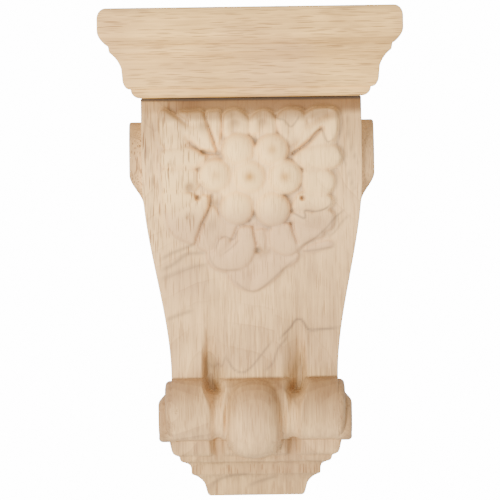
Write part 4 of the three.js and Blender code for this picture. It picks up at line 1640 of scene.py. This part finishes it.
class NodeSheet:
    """Adds nodes to one tree, links them, and lays them out in rows."""

    def __init__(self, tree: bpy.types.NodeTree) -> None:
        """Starts a sheet on an empty tree."""
        self.tree = tree
        self.count = 0

    def add(self, kind: str, **values: object) -> bpy.types.Node:
        """Adds a node.

        Args:
            kind: The node's type.
            values: Default values of its inputs, by name with spaces written as underscores.

        Returns:
            The node.
        """
        node = self.tree.nodes.new(kind)
        node.location = (180 * (self.count % 12), -260 * (self.count // 12))
        self.count += 1
        for name, value in values.items():
            node.inputs[name.replace("_", " ")].default_value = value
        return node

    def link(self, source: Socket, target: Socket) -> None:
        """Links one socket to another."""
        self.tree.links.new(source, target)

    def feed(self, value: object, target: Socket) -> None:
        """Links a socket, or sets a plain value."""
        if isinstance(value, Socket):
            self.link(value, target)
        else:
            target.default_value = value

    def math(
        self, operation: str, first: object, second: object = None, clamp: bool = False
    ) -> Socket:
        """Adds a Math node and returns its output."""
        node = self.add("ShaderNodeMath")
        node.operation = operation
        node.use_clamp = clamp
        self.feed(first, node.inputs[0])
        if second is not None:
            self.feed(second, node.inputs[1])
        return node.outputs[0]

    def split(self, vector: Socket) -> tuple[Socket, ...]:
        """Splits a vector into its three parts."""
        node = self.add("ShaderNodeSeparateXYZ")
        self.link(vector, node.inputs[0])
        return tuple(node.outputs)

    def join(self, x: object, y: object, z: object) -> Socket:
        """Joins three parts into a vector."""
        node = self.add("ShaderNodeCombineXYZ")
        for value, socket in zip((x, y, z), node.inputs):
            self.feed(value, socket)
        return node.outputs[0]

    def mark(self, name: str) -> Socket:
        """Reads one of the piece's own attributes."""
        node = self.add("ShaderNodeAttribute")
        node.attribute_name = name
        return node.outputs["Fac"]

    def sample(self, geometry: Socket, index: Socket) -> Socket:
        """Reads the position of one point of a geometry."""
        node = self.add("GeometryNodeSampleIndex")
        node.data_type = "FLOAT_VECTOR"
        self.link(geometry, node.inputs["Geometry"])
        self.link(self.add("GeometryNodeInputPosition").outputs[0], node.inputs["Value"])
        self.link(index, node.inputs["Index"])
        return node.outputs[0]

    def domain_size(self, geometry: Socket, component: str) -> Socket:
        """Counts the points of a geometry."""
        node = self.add("GeometryNodeAttributeDomainSize")
        node.component = component
        self.link(geometry, node.inputs["Geometry"])
        return node.outputs["Point Count"]

    def noise(self, vector: Socket, scale: float, detail: float) -> Socket:
        """Adds a Noise Texture and returns its plain value."""
        node = self.add("ShaderNodeTexNoise", Scale=scale, Detail=detail, Roughness=0.5)
        self.link(vector, node.inputs["Vector"])
        return node.outputs[0]

    def ramp(
        self, value: Socket, low: float, high: float, start: float = 0.0, end: float = 1.0
    ) -> Socket:
        """Maps a value from one range to another, held at its ends."""
        node = self.add("ShaderNodeMapRange")
        node.interpolation_type = "SMOOTHSTEP"
        self.feed(value, node.inputs["Value"])
        for name, number in (("From Min", low), ("From Max", high), ("To Min", start), ("To Max", end)):
            node.inputs[name].default_value = number
        return node.outputs[0]

    def blend(self, share: object, first: object, second: object) -> Socket:
        """Blends two colours by a share."""
        node = self.add("ShaderNodeMix")
        node.data_type = "RGBA"
        node.clamp_factor = True
        self.feed(share, node.inputs["Factor"])
        colours = [s for s in node.inputs if s.type == "RGBA"]
        self.feed(first, colours[0])
        self.feed(second, colours[1])
        return [s for s in node.outputs if s.type == "RGBA"][0]


def new_shader_group(
    name: str, inputs: dict[str, object], outputs: dict[str, str]
) -> tuple[bpy.types.NodeTree, NodeSheet, bpy.types.Node]:
    """Starts a shader node group with named inputs and outputs.

    Args:
        name: The group's name.
        inputs: Each input's name, with its default number or the word vector.
        outputs: Each output's name and its socket type.

    Returns:
        The group's tree, its sheet and its input node.
    """
    tree = bpy.data.node_groups.new(name, "ShaderNodeTree")
    for label, value in inputs.items():
        if value == "vector":
            tree.interface.new_socket(label, in_out="INPUT", socket_type="NodeSocketVector")
        else:
            socket = tree.interface.new_socket(label, in_out="INPUT", socket_type="NodeSocketFloat")
            socket.default_value = value
    for label, kind in outputs.items():
        tree.interface.new_socket(label, in_out="OUTPUT", socket_type=kind)
    sheet = NodeSheet(tree)
    return tree, sheet, sheet.add("NodeGroupInput")


class GrowthRings:
    """A group that gives solid wood its growth rings, for fibres that run along Z."""

    name = "growth_rings"

    @classmethod
    def tree(cls) -> bpy.types.NodeTree:
        """Builds the group, or finds the one already built."""
        found = bpy.data.node_groups.get(cls.name)
        if found:
            return found
        inputs = {"Vector": "vector", "Pith": "vector", "Spacing": 0.004, "Wander": 0.004}
        outputs = {"Tone": "NodeSocketFloat", "Line": "NodeSocketFloat"}
        tree, sheet, given = new_shader_group(cls.name, inputs, outputs)
        away = sheet.add("ShaderNodeVectorMath")
        away.operation = "SUBTRACT"
        sheet.link(given.outputs["Vector"], away.inputs[0])
        sheet.link(given.outputs["Pith"], away.inputs[1])
        x, y, z = sheet.split(away.outputs[0])
        flat = sheet.join(x, y, sheet.math("MULTIPLY", z, 0.16))
        bent = sheet.noise(flat, 26.0, 1.0)
        fine = sheet.noise(sheet.join(x, y, sheet.math("MULTIPLY", z, 0.1)), 210.0, 2.0)
        leaning = sheet.math("MULTIPLY", z, 0.05)
        radius = sheet.add("ShaderNodeVectorMath")
        radius.operation = "LENGTH"
        sheet.link(sheet.join(sheet.math("ADD", x, leaning), y, 0.0), radius.inputs[0])
        wander = sheet.math("MULTIPLY", sheet.math("SUBTRACT", bent, 0.5), given.outputs["Wander"])
        jitter = sheet.math("MULTIPLY", sheet.math("SUBTRACT", fine, 0.5), 0.0007)
        total = sheet.math("ADD", sheet.math("ADD", radius.outputs["Value"], wander), jitter)
        rings = sheet.math("DIVIDE", total, given.outputs["Spacing"])
        share = sheet.math("FRACT", rings)
        done = sheet.add("NodeGroupOutput")
        rise = sheet.ramp(share, 0.15, 0.97)
        fall = sheet.ramp(share, 0.97, 1.0, 1.0, 0.0)
        sheet.link(sheet.math("MULTIPLY", rise, fall), done.inputs["Tone"])
        line = sheet.math("MULTIPLY", sheet.ramp(share, 0.88, 0.965), sheet.ramp(share, 0.975, 1.0, 1.0, 0.0))
        sheet.link(line, done.inputs["Line"])
        return tree


class WoodPores:
    """A group that gives solid wood its pores and fibres, for fibres that run along Z."""

    name = "wood_pores"

    @classmethod
    def tree(cls) -> bpy.types.NodeTree:
        """Builds the group, or finds the one already built."""
        found = bpy.data.node_groups.get(cls.name)
        if found:
            return found
        inputs = {"Vector": "vector", "Width": 0.0009, "Length": 0.013, "Share": 0.45}
        outputs = {"Pores": "NodeSocketFloat", "Fibres": "NodeSocketFloat"}
        tree, sheet, given = new_shader_group(cls.name, inputs, outputs)
        x, y, z = sheet.split(given.outputs["Vector"])
        across = sheet.join(
            sheet.math("DIVIDE", x, given.outputs["Width"]),
            sheet.math("DIVIDE", y, given.outputs["Width"]),
            sheet.math("DIVIDE", z, given.outputs["Length"]),
        )
        cells = sheet.add("ShaderNodeTexVoronoi", Scale=1.0, Randomness=1.0)
        sheet.link(across, cells.inputs["Vector"])
        kept = sheet.math("LESS_THAN", sheet.split(cells.outputs["Color"])[0], given.outputs["Share"])
        dash = sheet.ramp(cells.outputs["Distance"], 0.3, 0.46, 1.0, 0.0)
        deep = sheet.math("ADD", 0.45, sheet.math("MULTIPLY", sheet.split(cells.outputs["Color"])[1], 0.55))
        done = sheet.add("NodeGroupOutput")
        pores = sheet.math("MULTIPLY", sheet.math("MULTIPLY", dash, kept), deep)
        sheet.link(pores, done.inputs["Pores"])
        long = sheet.join(x, y, sheet.math("MULTIPLY", z, 0.035))
        coarse = sheet.noise(long, 1050.0, 2.0)
        broad = sheet.noise(long, 260.0, 1.0)
        fibres = sheet.math("ADD", sheet.math("MULTIPLY", coarse, 0.6), sheet.math("MULTIPLY", broad, 0.4))
        sheet.link(fibres, done.inputs["Fibres"])
        return tree


@dataclass(frozen=True)
class StaveJoints:
    """Where the upright glue lines of the body are, in millimetres from its middle."""

    left: float = -13.6
    right: float = 10.6
    line_width: float = 0.35


@dataclass(frozen=True)
class RubberwoodFinish:
    """Bare sanded rubberwood."""

    name: str
    grain: Grain
    pale: Colour
    warm: Colour
    ring_colour: Colour
    pore_colour: Colour
    pith: tuple[float, float, float]
    ring_spacing: float
    ring_wander: float
    pore_width: float
    pore_length: float
    pore_share: float
    pore_strength: float
    roughness: float = 0.62
    staves: StaveJoints | None = None
    fibre_contrast: float = 2.0
    # Painted shade: crevices and under the cap, a brown that is partly the wood's own, the leaves' hollows,
    # the carving's recesses.
    crevice_shade_colour: Colour = (0.06, 0.042, 0.028, 1)
    browned_and_shaded: Colour = (0.155, 0.072, 0.024, 1)
    hollow_shade: Colour = (0.27, 0.155, 0.065, 1)
    shaded: Colour = (0.36, 0.26, 0.175, 1)
    ring_edge: Colour = (0.17, 0.11, 0.065, 1)
    # Painted light on what stands proud.
    painted_highlight_colour: Colour = (0.95, 0.605, 0.222, 1)
    pink: Colour = (0.48, 0.275, 0.14, 1)
    heart: Colour = (0.38, 0.17, 0.025, 1)

    def material(self) -> bpy.types.Material:
        """Builds the finish as a material.

        Returns:
            The material.
        """
        made = bpy.data.materials.new(self.name)
        made.use_nodes = True
        tree = made.node_tree
        tree.nodes.clear()
        sheet = NodeSheet(tree)
        done = sheet.add("ShaderNodeOutputMaterial")
        shader = sheet.add("ShaderNodeBsdfPrincipled")
        shader.inputs["IOR"].default_value = 1.45
        shader.inputs["Specular IOR Level"].default_value = 0.32
        sheet.link(shader.outputs[0], done.inputs[0])
        place = sheet.add("ShaderNodeTexCoord").outputs["Object"]
        turned = sheet.add("ShaderNodeMapping")
        turned.inputs["Rotation"].default_value = self.grain.value
        sheet.link(place, turned.inputs["Vector"])
        vector = turned.outputs[0]
        tint, glue = 0.5, None
        if self.staves:
            vector, tint, glue = self._staves(sheet, vector)
        rings = sheet.add("ShaderNodeGroup")
        rings.node_tree = GrowthRings.tree()
        sheet.link(vector, rings.inputs["Vector"])
        rings.inputs["Pith"].default_value = self.pith
        rings.inputs["Spacing"].default_value = self.ring_spacing
        rings.inputs["Wander"].default_value = self.ring_wander
        pores = sheet.add("ShaderNodeGroup")
        pores.node_tree = WoodPores.tree()
        grown = vector
        if self.staves:
            x, _, z = sheet.split(vector)
            grown = sheet.join(x, sheet.mark("wood_depth"), z)
        sheet.link(grown, pores.inputs["Vector"])
        pores.inputs["Width"].default_value = self.pore_width
        pores.inputs["Length"].default_value = self.pore_length
        pores.inputs["Share"].default_value = self.pore_share
        patches = sheet.noise(vector, 34.0, 2.0)
        shown = sheet.ramp(sheet.noise(place, 22.0, 1.0), 0.38, 0.62)
        rings_tone = sheet.math("MULTIPLY", sheet.math("MULTIPLY", rings.outputs["Tone"], 0.22), shown)
        lean = sheet.math("ADD", rings_tone, sheet.ramp(patches, 0.3, 0.7, 0.1, 0.4))
        fibres = sheet.math("SUBTRACT", pores.outputs["Fibres"], 0.5)
        lean = sheet.math("ADD", lean, sheet.math("MULTIPLY", fibres, self.fibre_contrast))
        if self.staves:
            lean = self._tone_and_painted_falloff(sheet, place, lean)
        lean = sheet.math("ADD", lean, sheet.math("SUBTRACT", tint, 0.5), clamp=True)
        colour = sheet.blend(lean, self.pale, self.warm)
        pink = sheet.ramp(sheet.noise(place, 17.0, 1.0), 0.42, 0.68, 0.0, 0.3)
        colour = sheet.blend(pink, colour, self.pink)
        drawn = sheet.math("ADD", 0.04, sheet.math("MULTIPLY", shown, 0.1))
        dark = sheet.math("MULTIPLY", pores.outputs["Pores"], self.pore_strength)
        if self.staves:
            drawn = sheet.math("MULTIPLY", drawn, sheet.mark("figured"))
            dark = sheet.math("MULTIPLY", dark, sheet.mark("upright"))
            # Painted light pales what stands proud and the hollow spots paint shade; the pink and the
            # berries' ring hearts are the wood's own.
            tints = (
                ("raised", 0.55, self.painted_highlight_colour),
                ("rosy", 0.75, self.pink),
                ("shade_and_stains", 1.3, self.hollow_shade),
                ("hearts", 1.2, self.heart),
            )
            colour = self._marked(sheet, colour, tints)
        line = sheet.math("MULTIPLY", rings.outputs["Line"], drawn)
        colour = sheet.blend(line, colour, self.ring_colour)
        colour = sheet.blend(dark, colour, self.pore_colour)
        if glue is not None:
            colour = sheet.blend(sheet.math("MULTIPLY", glue, 0.22), colour, self.ring_colour)
            # Growth-ring edges are the wood's own; the recess, brown and darkest marks paint shade, the brown
            # partly real browning.
            worked = (
                ("ring_edges", 1.0, self.ring_edge),
                ("recess", 0.6, self.shaded),
                ("brown_and_shade", 1.0, self.browned_and_shaded),
                ("painted_crevice_shade", 1.0, self.crevice_shade_colour),
            )
            colour = self._marked(sheet, colour, worked)
        sheet.link(colour, shader.inputs["Base Color"])
        rough = sheet.math("ADD", self.roughness, sheet.math("MULTIPLY", pores.outputs["Fibres"], 0.16))
        sheet.link(rough, shader.inputs["Roughness"])
        proud = sheet.math("MULTIPLY", pores.outputs["Fibres"], 0.35)
        height = sheet.math("SUBTRACT", proud, pores.outputs["Pores"])
        bump = sheet.add("ShaderNodeBump", Strength=0.35, Distance=0.00012)
        sheet.link(height, bump.inputs["Height"])
        sheet.link(bump.outputs[0], shader.inputs["Normal"])
        return made

    def _staves(self, sheet: NodeSheet, vector: Socket) -> tuple[Socket, ...]:
        """Gives each stave wood of its own.

        Args:
            sheet: The material's sheet.
            vector: The place in the wood.

        Returns:
            The place moved by stave, a tint for each stave, and the mask of the glue lines.
        """
        x, y, z = sheet.split(vector)
        joints = self.staves
        past_left = sheet.math("GREATER_THAN", x, joints.left * MM)
        past_right = sheet.math("GREATER_THAN", x, joints.right * MM)
        stave = sheet.math("ADD", past_left, past_right)
        moved = sheet.join(
            sheet.math("ADD", x, sheet.math("MULTIPLY", stave, 0.013)),
            sheet.math("ADD", y, sheet.math("MULTIPLY", past_right, 0.0016)),
            sheet.math("ADD", z, sheet.math("MULTIPLY", stave, 0.47)),
        )
        tint = sheet.math("ADD", 0.46, sheet.math("MULTIPLY", past_right, 0.10))
        tint = sheet.math("SUBTRACT", tint, sheet.math("MULTIPLY", past_left, 0.03))
        lines = []
        for edge in (joints.left, joints.right):
            away = sheet.math("ABSOLUTE", sheet.math("SUBTRACT", x, edge * MM))
            lines.append(sheet.ramp(away, 0.0, joints.line_width * MM, 1.0, 0.0))
        return moved, tint, sheet.math("MAXIMUM", *lines)

    @staticmethod
    def _tone_and_painted_falloff(sheet: NodeSheet, place: Socket, lean: Socket) -> Socket:
        """Makes the wood warmer towards the foot and the back, partly the wood's own tone and partly painted
        light falloff, and paler on what stands proud, which is painted light.

        Args:
            sheet: The material's sheet.
            place: The place in the wood.
            lean: How warm the wood is so far.

        Returns:
            How warm the wood is.
        """
        _, y, z = sheet.split(place)
        deep = sheet.ramp(y, -0.09, -0.04, -0.12, 0.12)
        low = sheet.ramp(z, -0.1, 0.03, 0.2, 0.0)
        pale = sheet.math("MULTIPLY", sheet.mark("raised"), -0.22)
        lean = sheet.math("ADD", lean, sheet.math("ADD", deep, low))
        return sheet.math("ADD", lean, pale)

    @staticmethod
    def _marked(
        sheet: NodeSheet, colour: Socket, marks: tuple[tuple[str, float, tuple], ...]
    ) -> Socket:
        """Tints the wood where the body's own marks say so, painted shade and painted light among them.

        Args:
            sheet: The material's sheet.
            colour: The colour so far.
            marks: Each mark's name, its strength and its colour.

        Returns:
            The tinted colour.
        """
        for name, strength, tone in marks:
            colour = sheet.blend(sheet.math("MULTIPLY", sheet.mark(name), strength), colour, tone)
        return colour


@dataclass(frozen=True)
class Studio:
    """The camera, the lights and the pale floor."""

    camera_distance: float = 3.6
    camera_across: float = -0.0015
    camera_height: float = 0.105
    aim_height: float = 0.0029
    camera_roll: float = -0.0140
    lens: float = 523.2
    floor_drop: float = 0.8
    floor_size: float = 5.8
    ambient: float = 1.77
    ambient_colour: Colour = (0.95, 0.99, 1.11, 1)
    backdrop: float = 15.0
    key_power: float = 13.0
    key_size: float = 0.4
    key_place: tuple[float, float, float] = (-0.42, -0.8, -0.12)
    key_aim: tuple[float, float, float] = (0, -0.08, 0)
    key_colour: tuple[float, float, float] = (1.0, 0.97, 0.9)
    floor_colour: Colour = (0.86, 0.86, 0.85, 1)
    floor_roughness: float = 0.9

    def build(self) -> None:
        """Sets up the camera, the lights and the floor."""
        self._camera()
        self._world()
        self._key_light()
        self._floor()

    def _camera(self) -> None:
        """Looks straight at the corbel's front from the photograph's distance."""
        data = bpy.data.cameras.new("photo_camera")
        data.sensor_width = 36.0
        data.lens = self.lens
        data.clip_end = 30.0
        camera = bpy.data.objects.new("photo_camera", data)
        nose = CorbelSizes().cap_depth * MM
        place = Matrix.Translation((self.camera_across, -nose - self.camera_distance, self.camera_height))
        fall = math.atan2(self.camera_height - self.aim_height, self.camera_distance)
        level = Matrix.Rotation(math.radians(90) - fall, 4, "X")
        camera.matrix_world = place @ level @ Matrix.Rotation(self.camera_roll, 4, "Z")
        bpy.context.scene.collection.objects.link(camera)
        bpy.context.scene.camera = camera

    def _world(self) -> None:
        """Makes a soft surround that the camera itself sees as pure white."""
        world = bpy.data.worlds.new("white_surround")
        bpy.context.scene.world = world
        world.use_nodes = True
        world.node_tree.nodes.clear()
        sheet = NodeSheet(world.node_tree)
        done = sheet.add("ShaderNodeOutputWorld")
        soft = sheet.add("ShaderNodeBackground", Color=self.ambient_colour, Strength=self.ambient)
        white = sheet.add("ShaderNodeBackground", Color=(1, 1, 1, 1), Strength=self.backdrop)
        chosen = sheet.add("ShaderNodeMixShader")
        sheet.link(sheet.add("ShaderNodeLightPath").outputs["Is Camera Ray"], chosen.inputs[0])
        sheet.link(soft.outputs[0], chosen.inputs[1])
        sheet.link(white.outputs[0], chosen.inputs[2])
        sheet.link(chosen.outputs[0], done.inputs[0])

    def _key_light(self) -> None:
        """Adds the soft square light that shines on the breast from the lower left in front."""
        data = bpy.data.lights.new("key_light", "AREA")
        data.size = self.key_size
        data.energy = self.key_power
        data.color = self.key_colour
        light = bpy.data.objects.new("key_light", data)
        turned = (Vector(self.key_aim) - Vector(self.key_place)).to_track_quat("-Z", "Y")
        light.matrix_world = Matrix.Translation(self.key_place) @ turned.to_matrix().to_4x4()
        bpy.context.scene.collection.objects.link(light)

    def _floor(self) -> None:
        """Lays a plain pale floor well below the corbel, out of the photograph's frame."""
        half = self.floor_size / 2
        mesh = bpy.data.meshes.new("studio_floor")
        corners = ((-half, -half), (half, -half), (half, half), (-half, half))
        mesh.from_pydata([(x, y, -self.floor_drop) for x, y in corners], [], [(0, 1, 2, 3)])
        floor = bpy.data.objects.new("studio_floor", mesh)
        bpy.context.scene.collection.objects.link(floor)
        paint = bpy.data.materials.new("pale_floor")
        paint.use_nodes = True
        shader = paint.node_tree.nodes["Principled BSDF"]
        shader.inputs["Base Color"].default_value = self.floor_colour
        shader.inputs["Roughness"].default_value = self.floor_roughness
        mesh.materials.append(paint)


BODY_FINISH = RubberwoodFinish(
    name="carved_rubberwood",
    grain=Grain.UPRIGHT,
    pale=(0.84, 0.52, 0.2, 1),
    warm=(0.31, 0.18, 0.075, 1),
    ring_colour=(0.22, 0.1, 0.035, 1),
    pore_colour=(0.2, 0.09, 0.03, 1),
    pith=(0.02, 0.16, 0.0),
    ring_spacing=0.0046,
    ring_wander=0.005,
    pore_width=0.00065,
    pore_length=0.011,
    pore_share=0.8,
    pore_strength=0.9,
    fibre_contrast=1.6,
    staves=StaveJoints(),
)

CAP_FINISH = RubberwoodFinish(
    name="cap_rubberwood",
    grain=Grain.ACROSS,
    pale=(0.795, 0.47, 0.146, 1),
    warm=(0.33, 0.18, 0.055, 1),
    ring_colour=(0.24, 0.11, 0.035, 1),
    pore_colour=(0.18, 0.08, 0.025, 1),
    pith=(0.09, 0.12, 0.0),
    ring_spacing=0.016,
    ring_wander=0.012,
    pore_width=0.0005,
    pore_length=0.012,
    pore_share=0.6,
    pore_strength=0.75,
    fibre_contrast=1.6,
)


def main() -> None:
    """Builds the dressed corbel and its studio, and reports each piece."""
    logging.basicConfig(level=logging.INFO, format="%(name)s: %(message)s")
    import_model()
    Studio().build()
    body = CarvedBody().build()
    body.data.materials.clear()
    body.data.materials.append(BODY_FINISH.material())
    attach(body, "root")
    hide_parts("carved_body")
    cap = CapMoulding().build(CAP_FINISH.material())
    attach(cap, "root")
    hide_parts("moulded_cap")
    for piece in (body, cap):
        LOG.info("%s has %d vertices and rides on the root", piece.name, len(piece.data.vertices))


if __name__ == "__main__":
    main()
